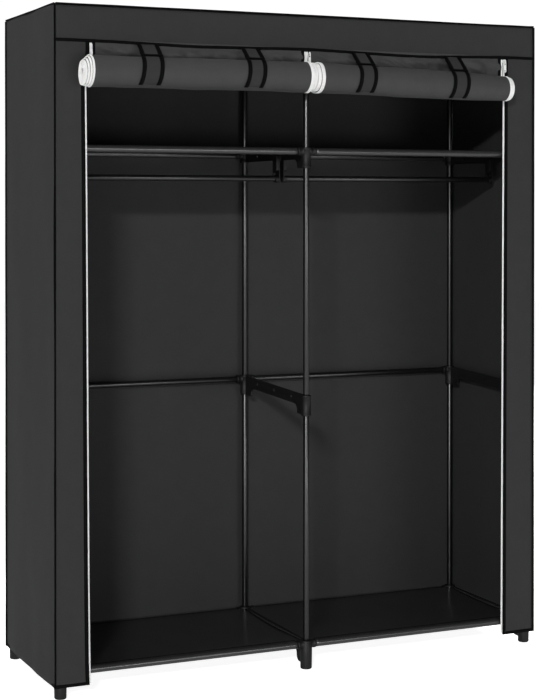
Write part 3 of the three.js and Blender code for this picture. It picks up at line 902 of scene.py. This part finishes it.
def header_sag(x):
    """How far the rolls draw the header's seam down between the uprights."""
    left_sag, right_sag = 0.004, 0.0065
    return (left_sag if x < 0 else right_sag) * math.sin(math.pi * min(1.0, abs(x) / OPENING_HALF)) ** 2


class WARDROBE_OT_cover(bpy.types.Operator):
    """The sewn cover: two sides, the back with the top, the header and the two front strips"""

    bl_idname = "wardrobe.cover"
    bl_label = "Cover"

    def execute(self, context):
        ripple = context.scene.wardrobe_cloth.ripple
        for side, sign in SIDES.items():
            self.side(side, sign, ripple)
            self.strip(side, sign, ripple)
        self.back_and_top(ripple)
        self.header(ripple)
        return {"FINISHED"}

    def panel(self, name, grid, size, place, rests_on, replaces=()):
        sheet = cloth_piece(name, grid, size, place, "frame", "cover_cloth", replaces)

    def side(self, side, sign, ripple):
        def place(across, along):
            y = FRONT + DEPTH * (across if sign > 0 else 1 - across)
            z = HEM + HEIGHT * along
            free = slack(across) * slack(0.5 * along + 0.25, 6)
            out = free * ripple * (1.1 + wave(y * 5, z * 1.3, sign) + 0.3 * wave(y * 12, z * 5, 3 + sign))
            gather = pucker(z, DEPTH * min(across, 1 - across), sign) + pucker(y, TOP - z, 2)
            out += 0.0004 * (1 + gather) + 0.0012 * math.exp(-(z - HEM) / 0.05) * slack(across)
            return Vector((sign * (WIDTH / 2 + out), y, z))

        name, node = f"side_panel_{side}", f"cover_side_{side}"
        self.panel(name, (44, 150), (DEPTH, HEIGHT), place, [f"top_bracket_{side}"], [node])

    def strip(self, side, sign, ripple):
        outer = WIDTH / 2 - CLOTH - FIT
        length = HEADER_BOTTOM + SEAM_LAP - HEM

        def place(across, along):
            share = across if sign > 0 else 1 - across
            z = HEM + length * along
            edge = abs(strip_edge(side, z))
            x = sign * (edge + (outer - edge) * share)
            out = (1 - share**3) * strip_out(x, z, sign, ripple)
            out += 0.0003 * (1 + pucker(z, outer - abs(x), sign))
            return Vector((x, FRONT - out, z))

        self.panel(f"front_strip_{side}", (12, 150), (outer - OPENING_HALF, length), place, ["front_header"])

    def header(self, ripple):
        half = WIDTH / 2 - CLOTH - FIT
        height = TOP - CLOTH - HEADER_BOTTOM

        def place(across, along):
            x = -half + 2 * half * across
            z = HEADER_BOTTOM + height * along - header_sag(x) * (1 - along) ** 2
            out = slack(along, 3) * ripple * 0.45 * (1 + wave(x * 4.2, z * 9))
            out += 0.0003 * (1 + pucker(x, min(z - HEADER_BOTTOM, TOP - z), 4))
            return Vector((x, FRONT - out, z))

        size = (2 * half, height)
        self.panel("front_header", (160, 12), size, place, ["top_tube_front_left"], ["cover_front"])

    def back_and_top(self, ripple):
        half = WIDTH / 2 - CLOTH - FIT
        length = HEIGHT + DEPTH
        column_share = abs(COLUMN_X["left"]) / half

        def place(across, along):
            x = half * (1 - 2 * across)
            distance = along * length
            if distance <= HEIGHT:
                z = HEM + distance
                free = slack(across, 6) * slack(0.5 * along * length / HEIGHT + 0.25, 6)
                out = free * ripple * (1 + wave(x * 2.6, z * 1.1, 7) + 0.25 * wave(x * 8, z * 5, 8))
                return Vector((x, BACK + out, z))
            y = BACK - (distance - HEIGHT)
            bay = abs(x) / half / column_share
            free = math.sin(math.pi * min(1, bay)) ** 0.7 * math.sin(math.pi * (BACK - y) / DEPTH) ** 0.6
            dip = free * (0.0045 + 0.0015 * wave(x * 5, y * 5, 9))
            return Vector((x, y, TOP - dip))

        tubes = ["top_tube_back_left", "top_tube_back_right"]
        size = (2 * half, length)
        self.panel("back_and_top_panel", (110, 190), size, place, tubes, ["cover_back_and_top"])


# Bound edges

class WARDROBE_OT_bound_edges(bpy.types.Operator):
    """Black folded tape sewn over the seams and hems of the cover"""

    bl_idname = "wardrobe.bound_edges"
    bl_label = "Bound Edges"

    def execute(self, context):
        cloth = context.scene.wardrobe_cloth
        size = (cloth.binding_width, cloth.binding_thickness)
        half = WIDTH / 2
        for side, sign in SIDES.items():
            x = sign * half
            front_hem, back_hem, front_top, back_top = (
                (x, FRONT, HEM), (x, BACK, HEM), (x, FRONT, TOP), (x, BACK, TOP)
            )
            self.seam(f"corner_binding_front_{side}", front_hem, front_top, (sign, -1, 0), size)
            self.seam(f"corner_binding_back_{side}", back_hem, back_top, (sign, 1, 0), size)
            self.seam(f"top_binding_{side}", front_top, back_top, (sign, 0, 1), size)
            self.flat(f"side_hem_binding_{side}", front_hem, back_hem, sign * ACROSS, size)
            self.strip_edge_binding(side, sign, size, cloth.ripple)
            strip_hem = (strip_edge(side, HEM), FRONT, HEM)
            self.flat(f"strip_hem_binding_{side}", strip_hem, front_hem, FORWARD, size)
        self.seam("top_binding_front", (-half, FRONT, TOP), (half, FRONT, TOP), (0, -1, 1), size)
        self.flat("back_hem_binding", (-half, BACK, HEM), (half, BACK, HEM), BACKWARD, size)
        self.header_seam(*size)
        return {"FINISHED"}

    def seam(self, name, start, end, out, size):
        """A bound seam that stands out from a box edge and leans a little to and fro."""
        start, end, out = Vector(start), Vector(end), Vector(out).normalized()
        along = (end - start).normalized()
        length = (end - start).length

        def line(share):
            lean = 0.3 * wave(share * length * 2.3, out.x * 3 + out.y) + 0.1 * wave(share * length * 9, out.z)
            to_end = min(share * length if start.z > HEM + 0.1 else length, (1 - share) * length)
            near = math.exp(-((to_end / 0.012) ** 2))
            side = (Matrix.Rotation(lean * (1 - near), 3, along) @ out).normalized()
            return start + along * (length * share) + side * (size[0] * 0.14), side, along.cross(side)

        tape(name, max(12, int(length / TAPE_ROW)), length, size, line)

    def flat(self, name, start, end, face, size):
        """A tape folded over a hem, lying on the cloth."""
        start, end = Vector(start), Vector(end)
        length = (end - start).length

        def line(share):
            out = face * (0.0004 + 0.0003 * wave(share * length * 14, 0))
            return start.lerp(end, share) + UP * (size[0] / 2 - TAPE_FOLD) + out, UP, face

        tape(name, max(10, int(length / TAPE_ROW)), length, size, line)

    def strip_edge_binding(self, side, sign, size, ripple):
        """The tape folded over a front strip's inner edge."""
        length = HEADER_BOTTOM - HEM
        width = size[0] * 1.15

        def line(share):
            z = HEM + length * share
            edge = strip_edge(side, z)
            out = 0.0006 + 0.0003 * wave(z * 14, sign) + strip_out(edge, z, sign, ripple)
            middle = Vector((edge + sign * (width / 2 - TAPE_FOLD), FRONT - out, z))
            return middle, sign * ACROSS, FORWARD

        tape(f"strip_binding_{side}", 150, length, (width, size[1]), line)

    def header_seam(self, width, thick):
        """The tape along the header's lower edge, over the door cloth and the straps."""
        half = WIDTH / 2 - CLOTH

        def line(share):
            x = -half + 2 * half * share
            drop = 0.0007 * wave(x * 7, 2) - header_sag(x)
            return Vector((x, FRONT - 0.0030, HEADER_BOTTOM + 0.002 + drop)), UP, FORWARD

        tape("header_binding", 110, 2 * half, (width * 0.85, thick * 1.25), line)


# Doors, rolled up

def stepped(turns, steps):
    """A stair of one even step for each turn, its risers behind the roll."""
    whole = math.floor(turns + 0.25)
    return min(steps, whole - 1 + eased((turns + 0.25 - whole) / 0.5)) if turns > 0 else 0.0


def door_end(side, end, turns):
    """Where the cloth's edge lies at one end of a rolled door, so many turns in. The left door's outer end
    steps out from turn to turn, and at the other ends the outermost turn lies back a little."""
    edge = DOOR_BOX[side][end > 0].x + END_SHIFT[side, end]
    if turns <= 0:
        return edge
    first = min(1.0, turns / 0.25)
    if (side, end) == ("left", -1):
        return edge - FIRST_STEP * first - LATER_STEP * max(0.0, stepped(turns, STEPPED_TURNS))
    back = RIGHT_END_BACK if (side, end) == ("right", 1) else MIDDLE_END_BACK
    return edge - end * back * (first - min(1.0, max(0.0, stepped(turns, 1))))


def roll_shape(x, side):
    """How far the roll's middle hangs above its even place, and how much it is squeezed, along its length."""
    start, stop = DOOR_BOX[side][0].x, DOOR_BOX[side][1].x
    share = (x - start) / (stop - start)
    if side == "left":
        lift, rise = 0.0045, 0.003
        return lift + rise * share, 1.0
    lift, fall, squeeze, squeezed_length = 0.0065, 0.014, 0.14, 0.16
    return lift - fall * share, 1 - squeeze * eased((x - (stop - squeezed_length)) / squeezed_length)


def roll_point(x, turns, outside, side):
    """A point of the rolled cloth: so many turns in and so far outside its middle."""
    held = min(abs(x - STRAP_X[side, place]) for place in ("outer", "inner"))
    grip, swelling, swelling_waves, wrinkle = 0.05, 0.0011, 0.0009, 0.0007
    loose = 1 - math.exp(-((max(0.0, held - STRAP_WIDTH / 2) / grip) ** 2))
    lift, squeeze = roll_shape(x, side)
    swell = loose * (swelling + swelling_waves * wave(x * 7, turns * 1.7, SIDES[side]))
    radius = ROLL_CENTRELINE - ROLL_PITCH * turns + outside + swell * min(1.0, 1.5 - turns / ROLL_TURNS)
    angle = -2 * math.pi * turns
    radius += wrinkle * loose * wave(x * 18, math.cos(angle) * 1.4, math.sin(angle) * 1.4 + turns * 0.1)
    radius *= squeeze
    wound = min(1.0, turns / ROLL_START)
    if side == "left":
        slope, most = 0.30, 0.0050
        lift -= min(most, slope * max(0.0, door_end(side, -1, ROLL_START) - x))
    lift *= wound
    back = ROLL_Y + ROLL_CENTRELINE * (1 - squeeze) * wound
    return Vector((x, back + radius * math.cos(angle), ROLL_Z + lift + radius * math.sin(angle)))


def tooth_pattern(zips):
    """One tooth of the coil: a bar with rounded edges, its length across the zip."""
    tooth = added(bpy.ops.mesh.primitive_cube_add, "tooth", size=1)
    tooth.data.transform(Matrix.Diagonal((zips.tooth_width, zips.tooth_pitch * 0.72, zips.tooth_height, 1)))
    rounded(tooth, zips.tooth_height * 0.28, 1, 30)
    return tooth


def toothed(name, pattern, body, places):
    """A row of teeth, one at each place, given as its point and its directions across, along and out."""
    shape = np.array([v.co for v in pattern.data.vertices])
    faces = [tuple(p.vertices) for p in pattern.data.polygons]
    points, polygons = [], []
    for count, (point, *directions) in enumerate(places):
        points.append(shape @ np.array(directions) + np.array(point))
        polygons += [tuple(i + count * len(shape) for i in face) for face in faces]
    mesh = bpy.data.meshes.new(name)
    mesh.from_pydata(np.concatenate(points).tolist(), [], polygons)
    row = bpy.data.objects.new(name, mesh)
    bpy.context.scene.collection.objects.link(row)
    return finished(smooth(row, 35), body, "zip_plastic")


def upright_coil(name, pattern, body, low, high, pitch, place):
    """A coil that stands from low to high, its teeth where place(z) says."""
    heights = [low + pitch * (i + 0.5) for i in range(int((high - low) / pitch))]
    return toothed(name, pattern, body, [(place(z), ACROSS, UP, FORWARD) for z in heights])


class WARDROBE_OT_doors(bpy.types.Operator):
    """The two doors: each a hanging part under the header, then a roll, with zips wound up in its ends"""

    bl_idname = "wardrobe.doors"
    bl_label = "Doors"

    def execute(self, context):
        zips = context.scene.wardrobe_zips
        pattern = tooth_pattern(zips)
        for side in SIDES:
            self.roll(side)
            self.hanging_part(side, zips, pattern)
            for end, place in ((-1, "left"), (1, "right")):
                self.rolled_zip(side, end, place, zips, pattern)
        clear([pattern])
        return {"FINISHED"}

    def flatten(self, piece, side):
        """Gives a rolled piece a mesh of its own."""
        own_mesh(piece)

    def roll(self, side):
        def place(across, along):
            turns = ROLL_TURNS * along
            left, right = door_end(side, -1, turns), door_end(side, 1, turns)
            return roll_point(left + (right - left) * across, turns, 0, side)

        name = f"door_{side}"
        grid = (90, int(ROLL_TURNS * ROLL_ROWS))
        size = (door_end(side, 1, 0) - door_end(side, -1, 0), ROLLED_LENGTH)
        # The roll wears the cover cloth with its grey painted lighter, as a painted highlight.
        sheet = cloth_piece(f"{name}_roll", grid, size, place, name, "door_cloth", [name], 0)
        self.flatten(sheet, side)

    def hanging_part(self, side, zips, pattern):
        """The cloth between the header seam and the roll, creased by the roll's weight."""
        name = f"door_{side}"
        left, right = door_end(side, -1, 0), door_end(side, 1, 0)
        top, bottom = HEADER_BOTTOM + SEAM_LAP, ROLL_Z
        back = ROLL_Y + ROLL_CENTRELINE
        crease_depth, bulge_depth, bulge_reach, bulge_z = 0.0075, 0.007, 0.012, ROLL_Z + ROLL_RADIUS + 0.020
        size = (right - left, top - bottom)

        def place(across, along):
            x = left + (right - left) * across
            z = bottom + (top - bottom) * along
            free = math.sin(math.pi * min(1.0, along * 1.04)) ** 1.2
            crease = wave(x * 11, z * 30, SIDES[side]) + 0.8 * wave(x * 30, z * 70 + x * 30, 6)
            bulge = bulge_depth * math.exp(-(((z - bulge_z) / bulge_reach) ** 2))
            return Vector((x, back - free * (crease_depth * crease + bulge) * slack(across, 20), z))

        # The hanging part wears the cover cloth with its grey painted lighter, as a painted highlight.
        finish, slot = "door_cloth", "grey_cloth"
        sheet = cloth_piece(f"{name}_hanging_part", (130, 26), size, place, None, finish, (), 0)
        edges = []
        for end, x, sign in (("left", left, 1), ("right", right, -1)):
            into = sign * ACROSS

            def edge_line(inset, out, height, x=x, into=into):
                def line(share):
                    return Vector((x, back - out, bottom + height * share)) + into * inset, into, FORWARD
                return line

            binding = edge_line(0.0085, CLOTH, top - bottom)
            edges.append(tape(f"{name}_edge_binding_{end}", 16, top - bottom, (0.009, 0.0024), binding, None))
            white = edge_line(0.0012, CLOTH / 2, top - 0.010 - bottom)
            white_size = (0.0052, 0.0018)
            tape_name = f"{name}_edge_tape_{end}"
            edges.append(tape(tape_name, 16, top - bottom, white_size, white, None, "zip_tape"))
            coil_end, tooth_x = top - 0.012, x + sign * (zips.tooth_width / 2 - 0.001)

            def tooth_place(z, x=tooth_x):
                return Vector((x, back - CLOTH / 2, z))

            coil_name, pitch = f"{name}_edge_coil_{end}", zips.tooth_pitch
            edges.append(upright_coil(coil_name, pattern, None, bottom, coil_end, pitch, tooth_place))
        for piece in (sheet, *edges):
            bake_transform(piece)

    def rolled_zip(self, side, end, place, zips, pattern):
        """White zip tape and coil wound up with one edge of the door."""
        name = f"door_{side}"
        tape_width = {("left", -1): 0.0048, ("right", 1): 0.0070}.get((side, end), 0.0090)
        tape_thickness, past_edge = 0.0021, 0.0004

        def tape_place(across, along):
            turns = ROLL_TURNS * along
            edge = door_end(side, end, turns)
            x = edge - end * tape_width * (1 - across if end > 0 else across) + end * past_edge
            return roll_point(x, turns, 0.0, side)

        grid = (5, int(ROLL_TURNS * ROLL_ROWS))
        cover = cloth_grid(f"{name}_zip_tape_{place}", *grid, (tape_width, ROLLED_LENGTH), tape_place)
        self.flatten(finished(thickened(cover, tape_thickness, 0), name, "zip_tape"), side)
        teeth = []
        turns = 0.0
        while turns < ROLL_TURNS:
            angle = -2 * math.pi * turns
            out = Vector((0, math.cos(angle), math.sin(angle)))
            along = Vector((0, math.sin(angle), -math.cos(angle)))
            x = door_end(side, end, turns) - end * (zips.tooth_width / 2 - 0.0012)
            teeth.append((roll_point(x, turns, 0.0002, side), ACROSS, along, out))
            turns += zips.tooth_pitch / (2 * math.pi * (ROLL_CENTRELINE - ROLL_PITCH * turns))
        self.flatten(toothed(f"{name}_zip_coil_{place}", pattern, name, teeth), side)


# Straps

def strap_path(lift):
    """The strap's line in (y, z): straight from its root at the header seam to the roll, then round it. Gives
    root, roll's middle, radius, the angles where it meets and leaves the roll, and the straight length."""
    radius = ROLL_RADIUS + FIT
    root = Vector((FRONT - CLOTH, HEADER_BOTTOM - 0.002))
    centre = Vector((ROLL_Y, ROLL_Z + lift))
    away = root - centre
    to_seam = math.atan2(away.y, away.x)
    touch = to_seam + math.acos(radius / away.length)
    return root, centre, radius, touch, to_seam + math.pi - STRAP_TUCK, math.sqrt(away.length**2 - radius**2)


def strap_at(distance, outside, lift):
    """The point, and the direction outwards, of the strap at a distance from the header seam."""
    root, centre, radius, touch, _, straight = strap_path(lift)
    angle = touch + max(0.0, distance - straight) / radius
    out = Vector((math.cos(angle), math.sin(angle)))
    if distance < straight:
        point = root.lerp(centre + out * radius, distance / straight) + out * outside
    else:
        point = centre + out * (radius + outside)
    return Vector((0, *point)), Vector((0, *out))


class WARDROBE_OT_straps(bpy.types.Operator):
    """Straps that hold the rolled doors: a flap from the header over a band round the roll, edges bound"""

    bl_idname = "wardrobe.straps"
    bl_label = "Straps"

    def execute(self, context):
        for side in SIDES:
            for place in ("outer", "inner"):
                self.strap(side, place, context.scene.wardrobe_cloth)
        return {"FINISHED"}

    def strap(self, side, place, cloth):
        name = f"strap_{side}_{place}"
        middle = STRAP_X[side, place]
        width = STRAP_WIDTH * (1.0 if (side, place) == ("left", "outer") else 0.9)
        edge_width, edge_thickness = cloth.strap_binding_width, 0.0025
        flap_end_thickness, overlap = 0.0032, 0.016
        held = roll_shape(middle, side)[0]
        _, _, radius, touch, end, straight = strap_path(held)
        flap_length = straight * 0.86
        total = straight + radius * (end - touch)

        def point_at(distance, outside, sideways):
            """A point of the strap, which leans aside on its way down, and the direction outwards."""
            point, out = strap_at(distance, outside, held)
            return Vector((middle - STRAP_LEAN * distance / total + sideways, 0, 0)) + point, out

        def layer(label, start, stop, lift, rows):
            def put(across, along):
                distance = start + (stop - start) * along
                point, out = point_at(distance, lift, (across - 0.5) * (width - 0.002))
                waves = 0.0005 * wave(point.x * 30, distance * 22, middle) * slack(along)
                return point + out * waves

            size, replaced = (width, stop - start), [name] if label == "band" else ()
            finish, slot = "cover_cloth", "strap_cloth"
            return cloth_piece(f"{name}_{label}", (14, rows), size, put, name, finish, replaced, 1)

        # Each layer's start and stop on the strap, its height over the roll and its rows
        spans = {
            "band": (flap_length - overlap, total, 0.0002, 46),
            "flap": (0.0, flap_length, 0.0016, 16),
        }
        edge_lift = {"band": 0.0008, "flap": 0.0024}
        sheets = {label: layer(label, *span) for label, span in spans.items()}
        pieces = []
        for label, (start, stop, _, _) in spans.items():
            edges = []
            for end_name, sign in (("left", -1), ("right", 1)):

                def line(share, sign=sign, start=start, stop=stop, lift=edge_lift[label]):
                    sideways = sign * (width / 2 - edge_width * 0.42)
                    point, out = point_at(start + (stop - start) * share, lift, sideways)
                    return point, ACROSS, out

                edge_name = f"{name}_{label}_edge_{end_name}"
                edges.append(tape(edge_name, 40, stop - start, (edge_width, edge_thickness), line, name))
            if label == "flap":

                def end_line(share):
                    point, out = point_at(flap_length, 0.0022, (share - 0.5) * width)
                    return point, ACROSS.cross(out), out

                end_size = (cloth.binding_width * 0.95, flap_end_thickness)
                edges.append(tape(f"{name}_flap_end", 16, width, end_size, end_line, name))
            owner = sheets[label]
            pieces += [owner, *edges]
        for piece in pieces:
            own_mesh(piece)


# Zips of the front strips

class WARDROBE_OT_front_zips(bpy.types.Operator):
    """White tape and coil along the inner edge of each front strip"""

    bl_idname = "wardrobe.front_zips"
    bl_label = "Front Zips"

    def execute(self, context):
        zips = context.scene.wardrobe_zips
        pattern = tooth_pattern(zips)
        low, high = HEM + 0.004, HEADER_BOTTOM - 0.004
        for side, sign in SIDES.items():

            def line(share, side=side, sign=sign):
                z = low + (high - low) * share
                return Vector((strip_edge(side, z) - sign * 0.0012, FRONT + CLOTH / 2, z)), ACROSS, FORWARD

            size = (0.0085, 0.0009)
            tape(f"zip_tape_{side}", 120, high - low, size, line, "frame", "zip_tape")

            def tooth_place(z, side=side, sign=sign):
                x = strip_edge(side, z) - sign * (zips.tooth_width / 2 + 0.0004)
                return Vector((x, FRONT + CLOTH / 2, z))

            upright_coil(f"zip_coil_{side}", pattern, "frame", low, high, zips.tooth_pitch, tooth_place)
        clear([pattern])
        return {"FINISHED"}


# Sliders and pulls

class WARDROBE_OT_sliders(bpy.types.Operator):
    """Zip sliders, each two shield-shaped plates on a post with an arched bridge, and their pulls"""

    bl_idname = "wardrobe.sliders"
    bl_label = "Sliders and Pulls"

    def execute(self, context):
        slider, pull = self.slider(), self.pull()
        for column in COLUMN_X:
            for pattern, node_name in ((slider, f"zip_slider_{column}"), (pull, f"zip_pull_{column}")):
                low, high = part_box(node_name)
                place = Vector(((low.x + high.x) / 2, high.y, high.z))
                piece = copied(pattern, f"{node_name}_metal", place=place)
                finished(piece, node_name, "zip_plastic", [node_name])
        clear([slider, pull])
        return {"FINISHED"}

    def slider(self):
        """Its back face at y = 0 and its top at z = 0."""
        low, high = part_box("zip_slider_left")
        width, height = high.x - low.x, high.z - low.z
        half, front, waist = width / 2, low.y - high.y, -0.55 * height
        plate_gap, plate, shoulder, tip, tip_inset = 0.0022, 0.0015, 0.003, 0.002, 0.0042
        shield = [
            *arc(shoulder - half, -shoulder, shoulder, 180, 90, 4),
            *arc(half - shoulder, -shoulder, shoulder, 90, 0, 4),
            (half, waist),
            *arc(half - tip_inset, tip - height, tip, 0, -90, 3),
            *arc(tip_inset - half, tip - height, tip, -90, -180, 3),
            (-half, waist),
        ]
        parts = []
        for y in (-plate / 2, -1.5 * plate - plate_gap):
            part = rounded(outlined("plate", shield, plate, "XZ"), 0.0004)
            part.data.transform(Matrix.Translation((0, y, 0)))
            parts.append(part)
        diamond = [(0, -0.0004), (-0.0022, -0.0042), (0, -0.0078), (0.0022, -0.0042)]
        post = outlined("post", diamond, plate_gap + plate, "XZ")
        post.data.transform(Matrix.Translation((0, -plate - plate_gap / 2, 0)))
        parts.append(post)
        base = 0.0006 - 2 * plate - plate_gap
        top, foot, bar, outer_round, inner_round = -0.0008, -0.0118, 0.0014, 0.002, 0.001
        outer = [
            (base, top),
            *arc(front + outer_round, top - outer_round, outer_round, 90, 180, 5),
            *arc(front + outer_round, foot + outer_round, outer_round, 180, 270, 5),
            (base, foot),
        ]
        inside = front + bar + inner_round
        inner = [
            (base, foot + bar),
            *arc(inside, foot + bar + inner_round, inner_round, 270, 180, 3),
            *arc(inside, top - bar - inner_round, inner_round, 180, 90, 3),
            (base, top - bar),
        ]
        parts.append(rounded(outlined("bridge", [*outer, *inner], BRIDGE_WIDTH), 0.0004))
        return smooth(joined(parts, "slider_pattern"))

    def pull(self):
        """A flat pull with a slot for the bridge, a raised rim and an eye near its end."""
        low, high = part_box("zip_pull_left")
        top_half, bottom_half, length = 0.0030, (high.x - low.x) / 2, high.z - low.z
        thick, corner = high.y - low.y, 0.001
        points = [
            *arc(corner - top_half, -corner, corner, 90, 180, 3),
            *arc(0, bottom_half - length, bottom_half, 180, 360, 14),
            *arc(top_half - corner, -corner, corner, 0, 90, 3),
        ]
        plate = outlined("pull", points, thick, "XZ")
        with editing(plate):
            pick_faces(plate, lambda middle, normal: abs(normal.y) > 0.9)
            bpy.ops.mesh.inset(thickness=0.0009, depth=-0.00035)
        slot_half, slot_top, slot_low = BRIDGE_WIDTH / 2 + 0.0007, -0.002, -0.0121
        slot = [(-slot_half, slot_top), (-slot_half, slot_low), (slot_half, slot_low), (slot_half, slot_top)]
        cut_by(plate, outlined("slot", slot, 4 * thick, "XZ"))
        eye_radius, eye_inset = 0.0017, 0.0045
        eye = arc(0, eye_inset - length, eye_radius, 0, 345, 23)
        cut_by(plate, outlined("eye", eye, 4 * thick, "XZ"))
        rounded(plate, 0.00025, 1)
        plate.data.transform(Matrix.Translation((0, -thick / 2, 0)))
        return smooth(plate)


# Stage

class WARDROBE_OT_stage(bpy.types.Operator):
    """Pale floor, soft studio light and the camera"""

    bl_idname = "wardrobe.stage"
    bl_label = "Stage"

    def execute(self, context):
        stage = context.scene.wardrobe_stage
        self.floor(stage)
        self.backdrop(stage)
        self.lights(stage)
        self.camera()
        context.scene.view_settings.view_transform = "Standard"
        return {"FINISHED"}

    def floor(self, stage):
        """The floor that the camera sees, and under it the lit one that throws its light up."""
        for name, glow, height, seen in (
            ("floor", stage.floor_glow, 0.0, True),
            ("lit_floor", stage.floor_light, -0.002, False),
        ):
            floor = added(bpy.ops.mesh.primitive_plane_add, name, size=36, location=(0, 0, height))
            bpy.ops.object.transform_apply(location=True)
            pale = Finish(f"pale_{name}", Roughness=0.6, Emission_Strength=glow, Emission_Color=(1, 1, 1, 1))
            pale.tinted(stage.floor_colour, 0.01, pale.noise(pale.place(), 3.0, 2.0))
            floor.data.materials.append(pale.material)
            self.rays(floor, seen)

    def rays(self, obj, seen):
        """A stage piece is either seen by the camera or throws light, so that each can be set alone."""
        obj.visible_camera = seen
        obj.visible_diffuse = obj.visible_glossy = obj.visible_transmission = not seen
        obj.visible_shadow = not seen

    def lights(self, stage):
        world = bpy.data.worlds.new("studio")
        world.use_nodes = True
        sky = world.node_tree.nodes["Background"]
        sky.inputs["Color"].default_value = (1, 1, 1, 1)
        sky.inputs["Strength"].default_value = stage.sky_strength
        bpy.context.scene.world = world
        target = Vector((0, -0.2, 1.3))
        for name, place, size, power in (
            ("key", (-6.2, -10.2, 4.8), (1.6, 0.5), stage.key_power),
            ("side", (-2.6, -0.1, 4.4), (1.2, 1.2), stage.side_power),
            ("fill", (2.0, -7.0, 0.65), (2.4, 0.9), stage.fill_power),
            ("gleam", (-5.6, -8.8, 1.3), (2.4, 7.0), stage.gleam_power),
            ("back", (4.6, 4.8, 2.6), (2.0, 2.0), stage.back_power),
        ):
            lamp = added(bpy.ops.object.light_add, f"{name}_light", type="AREA", location=place)
            lamp.data.shape = "RECTANGLE"
            lamp.data.size, lamp.data.size_y = size
            lamp.data.energy = power
            lamp.rotation_euler = (target - Vector(place)).to_track_quat("-Z", "Y").to_euler()
            lamp.visible_camera = False
            lamp.visible_diffuse = name != "gleam"

    def backdrop(self, stage):
        """A white wall all round, far off, that the camera sees and that throws no light."""
        settings = {"vertices": 48, "radius": 17, "depth": 20, "end_fill_type": "NOTHING"}
        wall = added(bpy.ops.mesh.primitive_cylinder_add, "backdrop", **settings)
        with editing(wall, everything=True):
            bpy.ops.mesh.flip_normals()
        white = Finish("white_wall")
        white.tree.nodes.clear()
        glow = white.node("Emission", [("Strength", stage.backdrop_strength)])[0]
        white.node("OutputMaterial", [("Surface", glow)])
        wall.data.materials.append(white.material)
        self.rays(wall, True)

    def camera(self):
        """Low on the left, its picture shifted down as the photograph's is."""
        focal_pixels, picture_height, horizon_row = 1694, 700, 215.7
        yaw, pitch = math.radians(24.16), math.radians(0.41)
        place, turn = (-1.938, -4.254, 1.243), (math.pi / 2 - pitch, 0, -yaw)
        camera = added(bpy.ops.object.camera_add, "camera", location=place, rotation=turn)
        camera.data.sensor_width = 36
        camera.data.lens = camera.data.sensor_width * focal_pixels / picture_height
        camera.data.shift_y = (horizon_row - picture_height / 2) / picture_height
        bpy.context.scene.camera = camera


class WARDROBE_PT_sidebar(bpy.types.Panel):
    """Lists the settings and the pieces of the wardrobe"""

    bl_idname = "WARDROBE_PT_sidebar"
    bl_label = "Wardrobe"
    bl_space_type = "VIEW_3D"
    bl_region_type = "UI"
    bl_category = "Wardrobe"

    def draw(self, context):
        scene = context.scene
        for group in (scene.wardrobe_cloth, scene.wardrobe_frame, scene.wardrobe_zips, scene.wardrobe_stage):
            box = self.layout.box()
            for name in group.__annotations__:
                box.prop(group, name)
        for operator in OPERATORS:
            self.layout.operator(operator.bl_idname)


OPERATORS = (
    WARDROBE_OT_stage,
    WARDROBE_OT_tubes,
    WARDROBE_OT_brackets,
    WARDROBE_OT_shelf_cloths,
    WARDROBE_OT_cover,
    WARDROBE_OT_bound_edges,
    WARDROBE_OT_doors,
    WARDROBE_OT_straps,
    WARDROBE_OT_front_zips,
    WARDROBE_OT_sliders,
)
GROUPS = {
    "wardrobe_cloth": ClothSettings,
    "wardrobe_frame": FrameSettings,
    "wardrobe_zips": ZipSettings,
    "wardrobe_stage": StageSettings,
}


def register():
    for cls in (*GROUPS.values(), *OPERATORS, WARDROBE_PT_sidebar):
        bpy.utils.register_class(cls)
    for name, group in GROUPS.items():
        setattr(bpy.types.Scene, name, bpy.props.PointerProperty(type=group))


def unregister():
    for name in GROUPS:
        delattr(bpy.types.Scene, name)
    for cls in reversed((*GROUPS.values(), *OPERATORS, WARDROBE_PT_sidebar)):
        bpy.utils.unregister_class(cls)


def main():
    register()
    bpy.ops.wardrobe.stage()
    bpy.ops.wardrobe.tubes()
    bpy.ops.wardrobe.brackets()
    bpy.ops.wardrobe.shelf_cloths()
    bpy.ops.wardrobe.cover()
    bpy.ops.wardrobe.bound_edges()
    bpy.ops.wardrobe.doors()
    bpy.ops.wardrobe.straps()
    bpy.ops.wardrobe.front_zips()
    bpy.ops.wardrobe.sliders()


if __name__ == "__main__":
    main()
